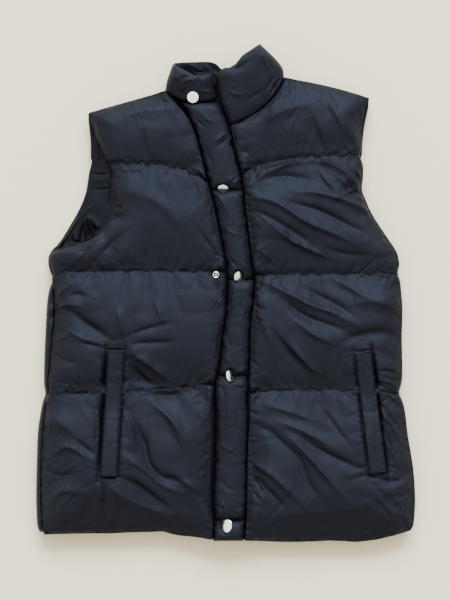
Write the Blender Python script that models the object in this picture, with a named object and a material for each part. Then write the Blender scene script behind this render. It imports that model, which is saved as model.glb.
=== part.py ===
# A padded vest laid flat on its back, front up. +Y runs to the collar, +X to the wearer's left
# front, +Z up. The origin is on the surface under it, at the middle of its outline.
# The back lies on the surface, the two fronts lie on the back, and the storm flap lies on both.

import math
from collections import namedtuple

import bmesh
import bpy
from mathutils import Matrix, Vector
from mathutils.bvhtree import BVHTree

MM = 0.001                     # every size and table below is in millimetres

# Clearances and cloth
GAP = 0.3                      # between two pieces that meet
BACK_THICK = 20.0              # the back's padding, pressed by what lies on it
BACK_EDGE = 13.0               # height of the back's underside at its rounded outline
BACK_ROLL = 30.0               # width over which the underside rounds up to the outline
BACK_QUILT_RISE = 5.0          # how far a quilting line lifts the rounded edge of the underside
BACK_QUILT_REACH = 14.0
SEAM_THICK = 4.0               # cloth and padding caught at a rim or a seam
NECK_SEAM = 2.0                # unpadded edge of a front along its neckline
NECK_OVERLAP = 25.0            # height over which the neckline's end runs under the flap
LAP_MARGIN = 2.0               # the padding of a front ends this far from the flap
LAP_FOOT = 0.8                 # the padding's end drops to the thin edge within this width
LAP_THICK = 4.0                # the fronts' unpadded edges, which meet under the flap
QUILT_PINCH = 3.0              # how far a quilting line draws the outline in
PINCH_REACH = 9.0              # distance from the line over which it does so

# Padding of the fronts, from the side seam, the flap and the quilting lines inwards
TIER_LOFT = (33.0, 34.0, 34.0, 32.0)    # hem tier first
SIDE_ROLL = 48.0
FLAP_ROLL = 26.0
QUILT_ROLL = 72.0
LAP_RISE = 9.0                 # the padding's end stands this high beside the flap
LAP_REACH = 14.0               # and fades over this distance from it
LAP_ENDS = 24.0                # and towards the quilting lines, the hem and the shoulder
QUILT_HEIGHT = 12.0            # a quilting line inside a front lies this much above its rim
QUILT_SPREAD = 30.0            # distance from the line over which that fades
QUILT_SIDE_FADE = 30.0         # and from the side seam
QUILT_LAP_FADE = 16.0          # and from the flap

# Storm flap
FLAP_UNDER = BACK_THICK + GAP + LAP_THICK + GAP
FLAP_LOFT = 21.0
FLAP_SIDE_ROLL = 13.0
FLAP_SEAM_ROLL = 26.0
FLAP_RIM = 8.0                 # thickness of its two long edges between the seams

# Collar
COLLAR_LOFT = 24.0
COLLAR_ROLL = 22.0
COLLAR_EDGE_FALL = 5.0          # how far the back collar's upper edge rounds down
COLLAR_LEFT_DIP = (12.0, 10.0)  # middle and half width of the sag in the left front's top edge
COLLAR_BACK_DIP = (5.0, 15.0)   # and of the back's, which it hides

# Pocket welts
WELT_WIDTH = 25.0
WELT_THICK = 4.0
WELT_LIFT = 0.9                # clears the facets of the panel that it lies on
WELT_STEPS = 18
WELT_COLUMNS = (-0.5, -0.25, 0.0, 0.25, 0.5)    # shares of its width
WELT_EDGE_START = 0.3          # beyond this share of its width a welt thins towards its edge
WELT_EDGE_FALL = 2.4           # share of its thickness lost for each share of its width
WELT_FEEL = (2.0, 3.0)         # reach across and along within which it clears the panel
POCKET_FILL = 0.72             # how far the padding stays up where the quilting stops at a pocket
POCKET_REACH = 26.0

# Snaps
CAP_HEIGHT = 2.6
STUD_RADIUS = 5.4
STUD_HEIGHT = 2.2
SNAP_SIDES = 20
SEAT_RINGS = (0.0, 0.2, 0.4, 0.6, 0.8, 1.0)     # shares of the radius where a snap feels its seat
SEAT_SIDES = 40
SNAP_BED = 10.0                # the flap's cloth follows a cap's lean within this radius
SNAP_BED_FADE = 12.0           # and is as it was this much further out

# How each piece is divided: columns across, step between rows, crowding towards its edges.
Division = namedtuple("Division", "columns step crowd_across crowd_along")
FRONT_DIVISION = Division(24, 11.5, 0.55, 0.6)
BACK_DIVISION = Division(20, 24.0, 0.75, 0.5)
FLAP_DIVISION = Division(12, 8.0, 0.4, 0.3)
COLLAR_DIVISION = Division(12, 9.0, 0.5, 0.5)
COLLAR_BACK_DIVISION = Division(24, 9.0, 0.3, 0.5)

# Storm flap, from the hem up: its two edges, and whether a seam crosses it there.
FlapRow = namedtuple("FlapRow", "y left right seam")
FLAP_ROWS = (
    FlapRow(-370, -18, 27, True),
    FlapRow(-340, -15, 30, True),
    FlapRow(-300, -16, 31, False),
    FlapRow(-236, -13, 32, False),
    FlapRow(-190, -12, 34, False),
    FlapRow(-160, -14, 33, False),
    FlapRow(-135, -14, 34, False),
    FlapRow(-123, -11, 34, True),
    FlapRow(-93, -6, 36, False),
    FlapRow(-63, -3, 36, False),
    FlapRow(-33, 2, 38, False),
    FlapRow(-8, 4, 42, False),
    FlapRow(20, 4, 43, True),
    FlapRow(46, 2, 39, False),
    FlapRow(72, -3, 36, False),
    FlapRow(102, -9, 32, False),
    FlapRow(132, -15, 28, False),
    FlapRow(154, -21, 27, True),
    FlapRow(182, -28, 22, False),
    FlapRow(207, -34, 15, False),
    FlapRow(230, -39, 10, False),
    FlapRow(247, -43, 6, False),
    FlapRow(267, -52, -3, False),
    FlapRow(285, -60, -12.5, True),
)

# The neckline of each front, from the neck point down to the flap.
NECK_RIGHT = ((-90, 302.5), (-72, 284), (-43, 246))
NECK_LEFT = ((88.5, 322.5), (62, 281), (10.5, 250))

# Fronts, from the hem up: the point on the side seam or armhole, the height of the row's other
# end on the front edge, how far its middle rises, and whether it is a line of quilting. late is
# the share of the row's drop that it keeps for its last stretch, before the flap.
FrontRow = namedtuple("FrontRow", "side_x side_y front_y bow quilt late", defaults=(0.0,))
RIGHT_ROWS = (
    FrontRow(-274, -360, -370, 3, True),
    FrontRow(-276, -310, -315, 2, False),
    FrontRow(-276, -265, -268, 0, False),
    FrontRow(-273, -205, -205, 0, False),
    FrontRow(-267, -150, -136, -4, True),
    FrontRow(-264, -118, -110, -2, False),
    FrontRow(-261, -80, -78, 0, False),
    FrontRow(-256, -38, -40, 0, False),
    FrontRow(-257, -3, -5, 0, False),
    FrontRow(-261, 31, 31, 2, True),
    FrontRow(-263, 56, 50, 0, False),
    FrontRow(-247, 65, 66, 0, False),
    FrontRow(-225, 72, 80, 0, False),
    FrontRow(-200, 82, 95, 2, False),
    FrontRow(-180, 103, 112, 2, False),
    FrontRow(-169, 126, 128, 3, False),
    FrontRow(-170, 155, 143, 4, False, 0.6),
    FrontRow(-170, 178, 155, 2, False, 1.0),
    FrontRow(-177, 193, 166, 0, True, 1.0),
    FrontRow(-184, 212, 190, 3, False, 0.7),
    FrontRow(-192, 230, 213, 4, False, 0.3),
    FrontRow(-197, 247, 238, 3, False),
    FrontRow(-202, 257, 262, 2, False),
    FrontRow(-205, 265, 284, 1, False),
    FrontRow(-207, 270, 302, 0, True),
)
LEFT_ROWS = (
    FrontRow(282, -350, -368, -10, True),
    FrontRow(285, -310, -314, -4, False),
    FrontRow(282, -262, -266, 0, False),
    FrontRow(274, -212, -214, 0, False),
    FrontRow(270, -178, -180, 0, False),
    FrontRow(264, -150, -148, 4, True),
    FrontRow(266, -118, -118, 2, False),
    FrontRow(265, -70, -72, 0, False),
    FrontRow(266, -25, -28, 0, False),
    FrontRow(264, 4, 2, 0, False),
    FrontRow(262, 29, 27, 0, True),
    FrontRow(261, 48, 48, 0, False),
    FrontRow(256, 64, 66, 0, False),
    FrontRow(244, 82, 84, 0, False),
    FrontRow(230, 103, 102, 0, False),
    FrontRow(219, 121, 118, 2, False),
    FrontRow(211, 139, 132, 3, False),
    FrontRow(205, 155, 145, 3, False, 0.4),
    FrontRow(207, 174, 158, 2, False, 0.8),
    FrontRow(207, 191, 168, 0, False, 1.0),
    FrontRow(205, 206, 178, -2, True, 1.0),
    FrontRow(205, 220, 202, 0, False, 1.0),
    FrontRow(205, 236, 225, 2, False, 0.5),
    FrontRow(206, 250, 250, 2, False),
    FrontRow(207, 261, 263, 0, False),
    FrontRow(209, 270, 277, 0, False),
    FrontRow(212, 279, 292, 1, False),
    FrontRow(216, 287, 308, 2, False),
    FrontRow(219, 292, 322, 3, True),
)

# Back, from the hem up: its outline on both sides, how far its middle rises, and its quilting.
BackRow = namedtuple("BackRow", "right_x right_y left_x left_y bow quilt")
BACK_ROWS = (
    BackRow(-282, -360, 281, -349, -8, True),
    BackRow(-284, -310, 284, -306, 0, False),
    BackRow(-283, -255, 280, -255, 0, False),
    BackRow(-281, -205, 272, -205, 0, False),
    BackRow(-273, -152, 263, -150, 0, True),
    BackRow(-272, -110, 265, -110, 0, False),
    BackRow(-270, -60, 264, -60, 0, False),
    BackRow(-267, -10, 265, -10, 0, False),
    BackRow(-262, 20, 262, 24, 0, True),
    BackRow(-266, 48, 260, 48, 0, False),
    BackRow(-262, 62, 255, 64, 0, False),
    BackRow(-249, 76, 243, 82, 0, False),
    BackRow(-235, 98, 229, 102, 0, False),
    BackRow(-220, 124, 218, 120, 0, False),
    BackRow(-210, 148, 208, 145, 3, False),
    BackRow(-206, 170, 205, 172, 6, False),
    BackRow(-203, 195, 206, 198, 10, True),
    BackRow(-202, 222, 207, 228, 18, False),
    BackRow(-204, 248, 211, 258, 26, False),
    BackRow(-207, 268, 219, 291, 32, True),
)

# Collar, from the neckline up: its fold at the side of the neck, its other end, how far its middle
# rises, and how far it sags at the dip.
CollarRow = namedtuple("CollarRow", "fold_x fold_y end_x end_y bow dip", defaults=(0.0,))
COLLAR_RIGHT_ROWS = (
    CollarRow(-89, 304.5, -13, 292, -12),
    CollarRow(-87, 318, -16, 306, -9),
    CollarRow(-82, 332, -19, 318, -8),
    CollarRow(-78, 344, -21, 330, -8),
)
COLLAR_LEFT_ROWS = (
    CollarRow(88.5, 323.2, 10.0, 251.0, -14),
    CollarRow(87, 336, -1, 276, -8),
    CollarRow(76, 349, -11.5, 300, -6),
    CollarRow(64, 360, -13, 319, -2, 3),
    CollarRow(52, 371, -6, 334, 1, 7),
)
COLLAR_BACK_ROWS = (
    CollarRow(-91, 0, 87, 0, 0),
    CollarRow(-87, 318, 84, 333, -2),
    CollarRow(-81, 334, 68, 346, -5, 8),
    CollarRow(-75, 346, 50, 362, -7, 16),
)

# Largest folds of the fronts: a ridge has a positive rise and a trough a negative one.
Fold = namedtuple("Fold", "from_x from_y to_x to_y half_width rise")
RIGHT_FOLDS = (
    Fold(-121, 244, -112, 198, 10, -3),
    Fold(-165, 124, -135, 118, 9, -4),
    Fold(-50, 86, -15, 42, 13, -4),
    Fold(-232, -22, -157, -75, 14, -6),
    Fold(-253, -10, -225, 12, 11, 4),
    Fold(-240, -42, -180, -80, 11, 4),
    Fold(-160, -10, -150, -72, 12, 4),
    Fold(-147, -70, -82, -48, 9, -3),
    Fold(-148, -88, -85, -122, 10, 4),
    Fold(-140, -104, -78, -140, 12, -5),
    Fold(-148, -178, -112, -243, 14, -6),
    Fold(-112, -262, -60, -268, 12, -5),
    Fold(-78, -270, -37, -298, 11, 4),
    Fold(-154, -280, -90, -315, 12, -5),
    Fold(-150, -297, -82, -333, 11, 4),
    Fold(-265, -183, -225, -213, 12, -4),
    Fold(-247, -231, -192, -262, 12, 4),
)
LEFT_FOLDS = (
    Fold(138, 267, 150, 214, 14, -5),
    Fold(152, 290, 180, 222, 12, -4),
    Fold(63, 277, 63, 222, 11, -3),
    Fold(67, 184, 195, 164, 15, 4),
    Fold(112, 147, 240, 94, 12, 5),
    Fold(97, 132, 210, 92, 13, -5),
    Fold(27, 140, 180, 87, 13, 5),
    Fold(37, 122, 142, 80, 13, -5),
    Fold(64, 20, 195, -63, 12, 5),
    Fold(75, 4, 142, -78, 14, -6),
    Fold(50, -3, 140, -115, 14, 5),
    Fold(165, 12, 202, -10, 11, -4),
    Fold(180, -72, 255, -84, 11, -4),
    Fold(45, -205, 165, -310, 14, -5),
    Fold(87, -205, 187, -310, 12, 5),
    Fold(97, -200, 210, -258, 12, -5),
    Fold(37, -243, 150, -325, 12, 5),
)

# Pocket welts: the middle of each end, top first.
Welt = namedtuple("Welt", "top_x top_y foot_x foot_y")
WELT_RIGHT = Welt(-162, -86, -173, -272)
WELT_LEFT = Welt(205.5, -88, 227.5, -267)

# Snap caps: place, lean of the dome to +X and +Y in degrees, and radius.
SnapCap = namedtuple("SnapCap", "x y lean_x lean_y radius")
SNAP_CAPS = (
    SnapCap(-48, 294, 0, 0, 9.0),
    SnapCap(-3, 157, -4, -32, 8.6),
    SnapCap(19, 25.5, 32, -16, 8.6),
    SnapCap(6.5, -124, 46, 4, 9.4),
    SnapCap(4, -348, -36, 7, 10.4),
)
STUD_PLACE = (-13.5, 27.0)


def rounded(distance, width):
    """Height of a quarter-round edge, 0 at the edge and 1 from width inwards."""
    reach = min(max(distance / width, 0.0), 1.0)
    return math.sqrt(1.0 - (1.0 - reach) ** 2)


def between(rows, key, value, y):
    """A column of a table read at height y, straight between its rows."""
    for low, high in zip(rows, rows[1:]):
        if y <= getattr(high, key):
            break
    span = getattr(high, key) - getattr(low, key)
    part = min(max((y - getattr(low, key)) / span, 0.0), 1.0)
    return getattr(low, value) * (1.0 - part) + getattr(high, value) * part


def through_three(points, part):
    """Point at part (0 to 1) of the smooth curve through three points."""
    weights = ((1 - part) * (1 - 2 * part), 4 * part * (1 - part), part * (2 * part - 1))
    return Vector([sum(w * p[axis] for w, p in zip(weights, points)) for axis in (0, 1)])


def bowed_row(start, end, bow, parts, late=0.0):
    """A row of points from start to end whose middle rises by bow and which may drop late."""
    row = []
    for part in parts:
        point = Vector(start).lerp(Vector(end), part)
        dropped = part * (1 - late) + late * part ** 4
        point.y = start[1] * (1 - dropped) + end[1] * dropped + bow * 4 * part * (1 - part)
        row.append(point)
    return row


def crowded(count, crowding):
    """Numbers from 0 to 1 that lie closer together towards both ends."""
    steps = [index / count for index in range(count + 1)]
    return [u - crowding * math.sin(2 * math.pi * u) / (2 * math.pi) for u in steps]


def catmull_rom(before, start, end, after, part):
    """Smooth curve between start and end."""
    return 0.5 * (2 * start + (end - before) * part
                  + (2 * before - 5 * start + 4 * end - after) * part ** 2
                  + (3 * start - before - 3 * end + after) * part ** 3)


def loft(key_rows, seam_rows, step, crowding):
    """Rows of points through the key rows, and each row's distance to the seams on both sides.

    The rows lie closer together at the seam rows, which are numbers of key rows.
    """
    middle = len(key_rows[0]) // 2
    lengths = [0.0]
    for low, high in zip(key_rows, key_rows[1:]):
        lengths.append(lengths[-1] + (high[middle] - low[middle]).length)
    rows = []
    last = len(key_rows) - 1
    for tier, (low, high) in enumerate(zip(seam_rows, seam_rows[1:])):
        tier_length = lengths[high] - lengths[low]
        count = max(2, round(tier_length / step))
        for part in crowded(count, crowding)[(1 if tier else 0):]:
            station = lengths[low] + part * tier_length
            key = next(k for k in range(low, high) if station <= lengths[k + 1] + 1e-6)
            inside = (station - lengths[key]) / (lengths[key + 1] - lengths[key])
            around = [key_rows[min(max(key + offset, 0), last)] for offset in (-1, 0, 1, 2)]
            points = [catmull_rom(*column, inside) for column in zip(*around)]
            rows.append((points, tier, station - lengths[low], lengths[high] - station))
    return rows


def nearest_on(start, end, point):
    """How far along a line the point lies, and its distance from the line."""
    start, run = Vector(start), Vector(end) - Vector(start)
    part = (point - start).dot(run) / run.length_squared
    nearest = start + run * min(max(part, 0.0), 1.0)
    return part, (point - nearest).length


def fold_height(folds, x, y):
    """Sum of the ridges and troughs at a point."""
    total = 0.0
    for fold in folds:
        ends = (fold.from_x, fold.from_y), (fold.to_x, fold.to_y)
        part, away = nearest_on(*ends, Vector((x, y)))
        fade = math.sin(math.pi * min(max(part, 0.08), 0.92))
        total += fold.rise * fade * math.exp(-(away / fold.half_width) ** 2)
    return total


def new_object(name, mesh_builder, material):
    """Turn a bmesh into an object with its faces pointing out."""
    bmesh.ops.recalc_face_normals(mesh_builder, faces=mesh_builder.faces)
    # the facets are settled here, because welts and snaps are seated on them
    quads = [face for face in mesh_builder.faces if len(face.verts) == 4]
    bmesh.ops.triangulate(mesh_builder, faces=quads)
    mesh = bpy.data.meshes.new(name)
    mesh_builder.to_mesh(mesh)
    mesh_builder.free()
    mesh.materials.append(material)
    mesh.shade_smooth()
    mesh.set_sharp_from_angle(angle=math.radians(40))
    piece = bpy.data.objects.new(name, mesh)
    bpy.context.scene.collection.objects.link(piece)
    return piece


def padded_piece(name, grid, material, flat_under=None):
    """Closed body between a top grid and an under grid, or a flat underside at one height.

    grid is a list of rows, each a list of (x, y, top, under).
    """
    builder = bmesh.new()
    tops = [[builder.verts.new((x * MM, y * MM, top * MM)) for x, y, top, _ in row] for row in grid]
    for low, high in zip(tops, tops[1:]):
        for index in range(len(low) - 1):
            builder.faces.new((low[index], low[index + 1], high[index + 1], high[index]))
    rim = edge_loop(tops)
    if flat_under is None:
        unders = [[builder.verts.new((x * MM, y * MM, under * MM)) for x, y, _, under in row]
                  for row in grid]
        for low, high in zip(unders, unders[1:]):
            for index in range(len(low) - 1):
                builder.faces.new((high[index], high[index + 1], low[index + 1], low[index]))
        under_rim = edge_loop(unders)
    else:
        under_rim = [builder.verts.new((v.co.x, v.co.y, flat_under * MM)) for v in rim]
        builder.faces.new(under_rim)
    for index in range(len(rim)):
        following = (index + 1) % len(rim)
        builder.faces.new((rim[index], under_rim[index], under_rim[following], rim[following]))
    return new_object(name, builder, material)


def edge_loop(rows):
    """The outer ring of a grid, in order."""
    right_side = [row[-1] for row in rows[1:-1]]
    left_side = [row[0] for row in rows[1:-1]]
    return rows[0] + right_side + rows[-1][::-1] + left_side[::-1]


def flap_middle(y):
    """The line under the flap where the two fronts meet."""
    return 0.5 * (between(FLAP_ROWS, "y", "left", y) + between(FLAP_ROWS, "y", "right", y))


def curve_at_height(points, y):
    """Point of a falling neckline curve at height y."""
    low, high = 0.0, 1.0
    for _ in range(30):
        part = 0.5 * (low + high)
        if through_three(points, part).y > y:
            low = part
        else:
            high = part
    return through_three(points, part)


def front_edge(neck, y, side):
    """Where a front ends: on its neckline, or at the middle of the flap. side is -1 or 1."""
    if y >= neck[-1][1]:
        point = curve_at_height(neck, y)
        return Vector((point.x + side * GAP, point.y - GAP))
    overlap_end = neck[-1][1] - NECK_OVERLAP
    under_flap = flap_middle(y) + side * GAP
    if y <= overlap_end:
        return Vector((under_flap, y))
    part = (y - overlap_end) / NECK_OVERLAP
    return Vector((under_flap * (1 - part) + neck[-1][0] * part, y))


def lap_line(neck, y, side):
    """Where a front's padding ends: beside the flap, or just inside the neckline."""
    edge = between(FLAP_ROWS, "y", "left" if side < 0 else "right", y) + side * LAP_MARGIN
    inside_end = front_edge(neck, y, side).x + side * NECK_SEAM
    return Vector((min(edge, inside_end) if side < 0 else max(edge, inside_end), y))


def pocket_fill(place, point):
    """Padding kept up beside a pocket, whose mouth the quilting doesn't cross."""
    _, away = nearest_on((place.top_x, place.top_y), (place.foot_x, place.foot_y), point)
    return POCKET_FILL * math.exp(-(away / POCKET_REACH) ** 2)


def quilt_rise(line, from_side, from_lap):
    """How far a quilting line inside a front lies above the thin rim, near the line."""
    fade = rounded(from_side, QUILT_SIDE_FADE) * rounded(from_lap, QUILT_LAP_FADE)
    return QUILT_HEIGHT * fade * math.exp(-(line / QUILT_SPREAD) ** 2)


def front_panel(name, rows, neck, folds, pocket, side, material):
    """One quilted front. Its underside is flat on the back, its tiers rise between the lines.

    After the padding's end come its foot and the unpadded edge that lies under the flap.
    """
    division = FRONT_DIVISION
    columns = crowded(division.columns, division.crowd_across)
    key_rows = []
    for row in rows:
        lap = lap_line(neck, row.front_y, side)
        padded = bowed_row((row.side_x, row.side_y), lap, row.bow, columns, row.late)
        key_rows.append(padded)
    seams = [index for index, row in enumerate(rows) if row.quilt]
    under = BACK_THICK + GAP
    grid = []
    for points, tier, below, above in loft(key_rows, seams, division.step, division.crowd_along):
        line = min(below, above)
        nearest_seam = tier if below < above else tier + 1
        inner = 0 < nearest_seam < len(seams) - 1
        points[-1] = lap_line(neck, points[-1].y, side)
        pinch = QUILT_PINCH * math.exp(-(line / PINCH_REACH) ** 2)
        row = []
        for point in points:
            from_side = (point - points[0]).length
            from_lap = (point - points[-1]).length
            quilted = max(rounded(line, QUILT_ROLL), pocket_fill(pocket, point))
            padding = rounded(from_side, SIDE_ROLL) * rounded(from_lap, FLAP_ROLL) * quilted
            seam = SEAM_THICK + (quilt_rise(line, from_side, from_lap) if inner else 0.0)
            seam += LAP_RISE * math.exp(-(from_lap / LAP_REACH) ** 2) * rounded(line, LAP_ENDS)
            top = seam + (TIER_LOFT[tier] - seam) * padding
            top += fold_height(folds, point.x, point.y) * padding
            x = point.x - side * pinch * math.exp(-from_side / SIDE_ROLL)
            row.append((x, point.y, under + max(top, SEAM_THICK), under))
        lap, edge = points[-1], front_edge(neck, points[-1].y, side)
        row.append((lap.x - side * LAP_FOOT, lap.y, under + SEAM_THICK, under))
        row.append((edge.x, edge.y, under + SEAM_THICK, under))
        grid.append(row if side < 0 else row[::-1])
    return padded_piece(name, grid, material, flat_under=under)


def back_top_row(parts):
    """The back's shoulders and neckline."""
    top = BACK_ROWS[-1]
    return bowed_row((top.right_x, top.right_y), (top.left_x, top.left_y), top.bow, parts)


def back_neckline(x):
    """Height of the back's top edge at x."""
    top = BACK_ROWS[-1]
    part = (x - top.right_x) / (top.left_x - top.right_x)
    return back_top_row([part])[0].y


def back_panel(material):
    """The back: flat on the surface, rounded up to its outline, plain on its inside."""
    division = BACK_DIVISION
    columns = crowded(division.columns, division.crowd_across)
    key_rows = [bowed_row((row.right_x, row.right_y), (row.left_x, row.left_y), row.bow, columns)
                for row in BACK_ROWS]
    seams = [index for index, row in enumerate(BACK_ROWS) if row.quilt]
    lofted = loft(key_rows, seams, division.step, division.crowd_along)
    middle = division.columns // 2
    heights = [0.0]
    for (low, *_), (high, *_) in zip(lofted, lofted[1:]):
        heights.append(heights[-1] + (high[middle] - low[middle]).length)
    grid = []
    for (points, _, below, above), height in zip(lofted, heights):
        width = (points[-1] - points[0]).length
        line = min(below, above)
        pinch = QUILT_PINCH * math.exp(-(line / PINCH_REACH) ** 2)
        lifted = BACK_QUILT_RISE * math.exp(-(line / BACK_QUILT_REACH) ** 2)
        row = []
        for part, point in zip(columns, points):
            from_outline = min(part * width, (1 - part) * width, height, heights[-1] - height)
            under = (BACK_EDGE + lifted) * (1 - rounded(from_outline, BACK_ROLL))
            under = min(under, BACK_EDGE)
            draw = pinch * (max(0.0, 1.0 - part * 4) - max(0.0, part * 4 - 3.0))
            row.append((point.x + draw, point.y, BACK_THICK, under))
        grid.append(row)
    return padded_piece("back_panel", grid, material)


def snap_bed(x, y, top):
    """Height of the flap's cloth at a place, drawn into line with the cap that it carries."""
    for cap in SNAP_CAPS[1:]:
        across, along = x - cap.x, y - cap.y
        away = math.hypot(across, along)
        hold = min(max((SNAP_BED + SNAP_BED_FADE - away) / SNAP_BED_FADE, 0.0), 1.0)
        slope_x, slope_y = (math.tan(math.radians(lean)) for lean in (cap.lean_x, cap.lean_y))
        middle = FLAP_UNDER + SEAM_THICK + cap.radius * math.hypot(slope_x, slope_y)
        leaning = max(middle - slope_x * across - slope_y * along, FLAP_UNDER + SEAM_THICK)
        top = top * (1 - hold) + min(leaning, FLAP_UNDER + FLAP_LOFT) * hold
    return top


def flap(material):
    """The storm flap: a padded strip with a seam across it at each snap."""
    division = FLAP_DIVISION
    columns = crowded(division.columns, division.crowd_across)
    key_rows = [bowed_row((row.left, row.y), (row.right, row.y), 0.0, columns)
                for row in FLAP_ROWS]
    seams = [index for index, row in enumerate(FLAP_ROWS) if row.seam]
    grid = []
    for points, _, below, above in loft(key_rows, seams, division.step, division.crowd_along):
        width = (points[-1] - points[0]).length
        along = rounded(min(below, above), FLAP_SEAM_ROLL)
        rim = SEAM_THICK + (FLAP_RIM - SEAM_THICK) * along
        row = []
        for part, point in zip(columns, points):
            padding = rounded(min(part, 1 - part) * width, FLAP_SIDE_ROLL) * along
            top = FLAP_UNDER + rim + (FLAP_LOFT - rim) * padding
            if 0.0 < part < 1.0:
                top = snap_bed(point.x, point.y, top)
            row.append((point.x, point.y, top, FLAP_UNDER))
        grid.append(row)
    return padded_piece("placket", grid, material, flat_under=FLAP_UNDER)


def collar_row(row, dip, parts):
    """A collar row with its sag. dip holds the sag's middle and half width."""
    points = bowed_row((row.fold_x, row.fold_y), (row.end_x, row.end_y), row.bow, parts)
    for point in points:
        point.y -= row.dip * math.exp(-(abs(point.x - dip[0]) / dip[1]) ** 3)
    return points


def collar_back(key_rows, material):
    """The collar's back part, flat on the surface, rounded at its edges like the back."""
    division = COLLAR_BACK_DIVISION
    columns = crowded(division.columns, division.crowd_across)
    grid = []
    for points, _, from_neck, from_top in loft(key_rows, [0, len(key_rows) - 1], division.step,
                                               division.crowd_along):
        width = (points[-1] - points[0]).length
        row = []
        for part, point in zip(columns, points):
            from_fold = min(part, 1 - part) * width
            fall = COLLAR_EDGE_FALL * (1 - rounded(min(from_fold, from_top), COLLAR_ROLL))
            under = BACK_EDGE * (1 - rounded(min(from_fold, from_top, from_neck), COLLAR_ROLL))
            row.append((point.x, point.y, BACK_THICK - fall, under))
        grid.append(row)
    return padded_piece("collar_back", grid, material)


def collar_front(name, key_rows, material, swap=False):
    """A padded front part of the stand collar, lying on the back part."""
    division = COLLAR_DIVISION
    under = BACK_THICK + GAP
    columns = crowded(division.columns, division.crowd_across)
    grid = []
    for points, _, below, above in loft(key_rows, [0, len(key_rows) - 1], division.step,
                                        division.crowd_along):
        width = (points[-1] - points[0]).length
        row = []
        for part, point in zip(columns, points):
            padding = (rounded(min(part, 1 - part) * width, COLLAR_ROLL)
                       * rounded(min(below, above), COLLAR_ROLL))
            top = under + SEAM_THICK + (COLLAR_LOFT - SEAM_THICK) * padding
            row.append((point.x, point.y, top, under))
        grid.append(row[::-1] if swap else row)
    return padded_piece(name, grid, material, flat_under=under)


def collar(material, lining):
    """The stand collar: its back part under its two front parts."""
    columns = crowded(COLLAR_DIVISION.columns, COLLAR_DIVISION.crowd_across)
    back_columns = crowded(COLLAR_BACK_DIVISION.columns, COLLAR_BACK_DIVISION.crowd_across)
    right = [collar_row(row, COLLAR_LEFT_DIP, columns) for row in COLLAR_RIGHT_ROWS]
    left = [collar_row(row, COLLAR_LEFT_DIP, columns) for row in COLLAR_LEFT_ROWS]
    back = [collar_row(row, COLLAR_BACK_DIP, back_columns) for row in COLLAR_BACK_ROWS]
    back[0] = [Vector((point.x, back_neckline(point.x) + GAP)) for point in back[0]]
    neck_up = Vector((-GAP, GAP))
    left[0] = [through_three(NECK_LEFT, part) + neck_up for part in columns]
    collar_back(back, lining)
    collar_front("collar_right", right, material)
    collar_front("collar_left", left, material, swap=True)


def surface_of(piece):
    """A piece's faces, to find the height of its top at a place."""
    points = [vertex.co for vertex in piece.data.vertices]
    faces = [tuple(polygon.vertices) for polygon in piece.data.polygons]
    return BVHTree.FromPolygons(points, faces)


def top_at(surface, x, y):
    """Height of a surface at a place, in millimetres."""
    hit = surface.ray_cast(Vector((x * MM, y * MM, 1.0)), Vector((0.0, 0.0, -1.0)))[0]
    return None if hit is None else hit.z / MM


def welt(name, place, panel, material):
    """A pocket welt that follows the front it is sewn to."""
    surface = surface_of(panel)
    top = Vector((place.top_x, place.top_y))
    foot = Vector((place.foot_x, place.foot_y))
    along = (foot - top).normalized()
    across = Vector((-along.y, along.x))
    reach_x, reach_y = WELT_FEEL
    grid = []
    for step in range(WELT_STEPS + 1):
        middle = top.lerp(foot, step / WELT_STEPS)
        row = []
        for shift in WELT_COLUMNS:
            point = middle + across * shift * WELT_WIDTH
            nearby = [top_at(surface, point.x + dx, point.y + dy)
                      for dx in (-reach_x, 0, reach_x) for dy in (-reach_y, 0, reach_y)]
            under = max(nearby) + WELT_LIFT
            edge = 1.0 - WELT_EDGE_FALL * max(0.0, abs(shift) - WELT_EDGE_START)
            row.append((point.x, point.y, under + WELT_THICK * edge, under))
        grid.append(row)
    return padded_piece(name, grid, material)


def turned(name, profile, place, material):
    """A closed turned body. The profile runs from the top of the axis to its foot."""
    builder = bmesh.new()
    rings = []
    for radius, height in profile:
        if radius == 0.0:
            rings.append([builder.verts.new(place @ Vector((0, 0, height * MM)))])
            continue
        ring = []
        for side in range(SNAP_SIDES):
            turn = Matrix.Rotation(2 * math.pi * side / SNAP_SIDES, 4, "Z")
            ring.append(builder.verts.new(place @ (turn @ Vector((radius * MM, 0, height * MM)))))
        rings.append(ring)
    for upper, lower in zip(rings, rings[1:]):
        for side in range(SNAP_SIDES):
            following = (side + 1) % SNAP_SIDES
            if len(upper) == 1:
                builder.faces.new((upper[0], lower[side], lower[following]))
            elif len(lower) == 1:
                builder.faces.new((upper[side], lower[0], upper[following]))
            else:
                builder.faces.new((upper[side], lower[side], lower[following], upper[following]))
    return new_object(name, builder, material)


def seated(surface, x, y, radius, lean_x, lean_y):
    """Place a round piece on a surface, leaning, with its underside just clear all round."""
    lean = (Matrix.Rotation(math.radians(lean_x), 4, "Y")
            @ Matrix.Rotation(math.radians(-lean_y), 4, "X"))
    height = 0.0
    for ring in SEAT_RINGS:
        for side in range(SEAT_SIDES):
            turn = 2 * math.pi * side / SEAT_SIDES
            rim = lean @ Vector((ring * radius * math.cos(turn), ring * radius * math.sin(turn), 0))
            top = top_at(surface, x + rim.x, y + rim.y)
            if top is not None:
                height = max(height, top - rim.z)
    place = Vector((x, y, height + GAP)) * MM
    return Matrix.Translation(place) @ lean


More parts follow.
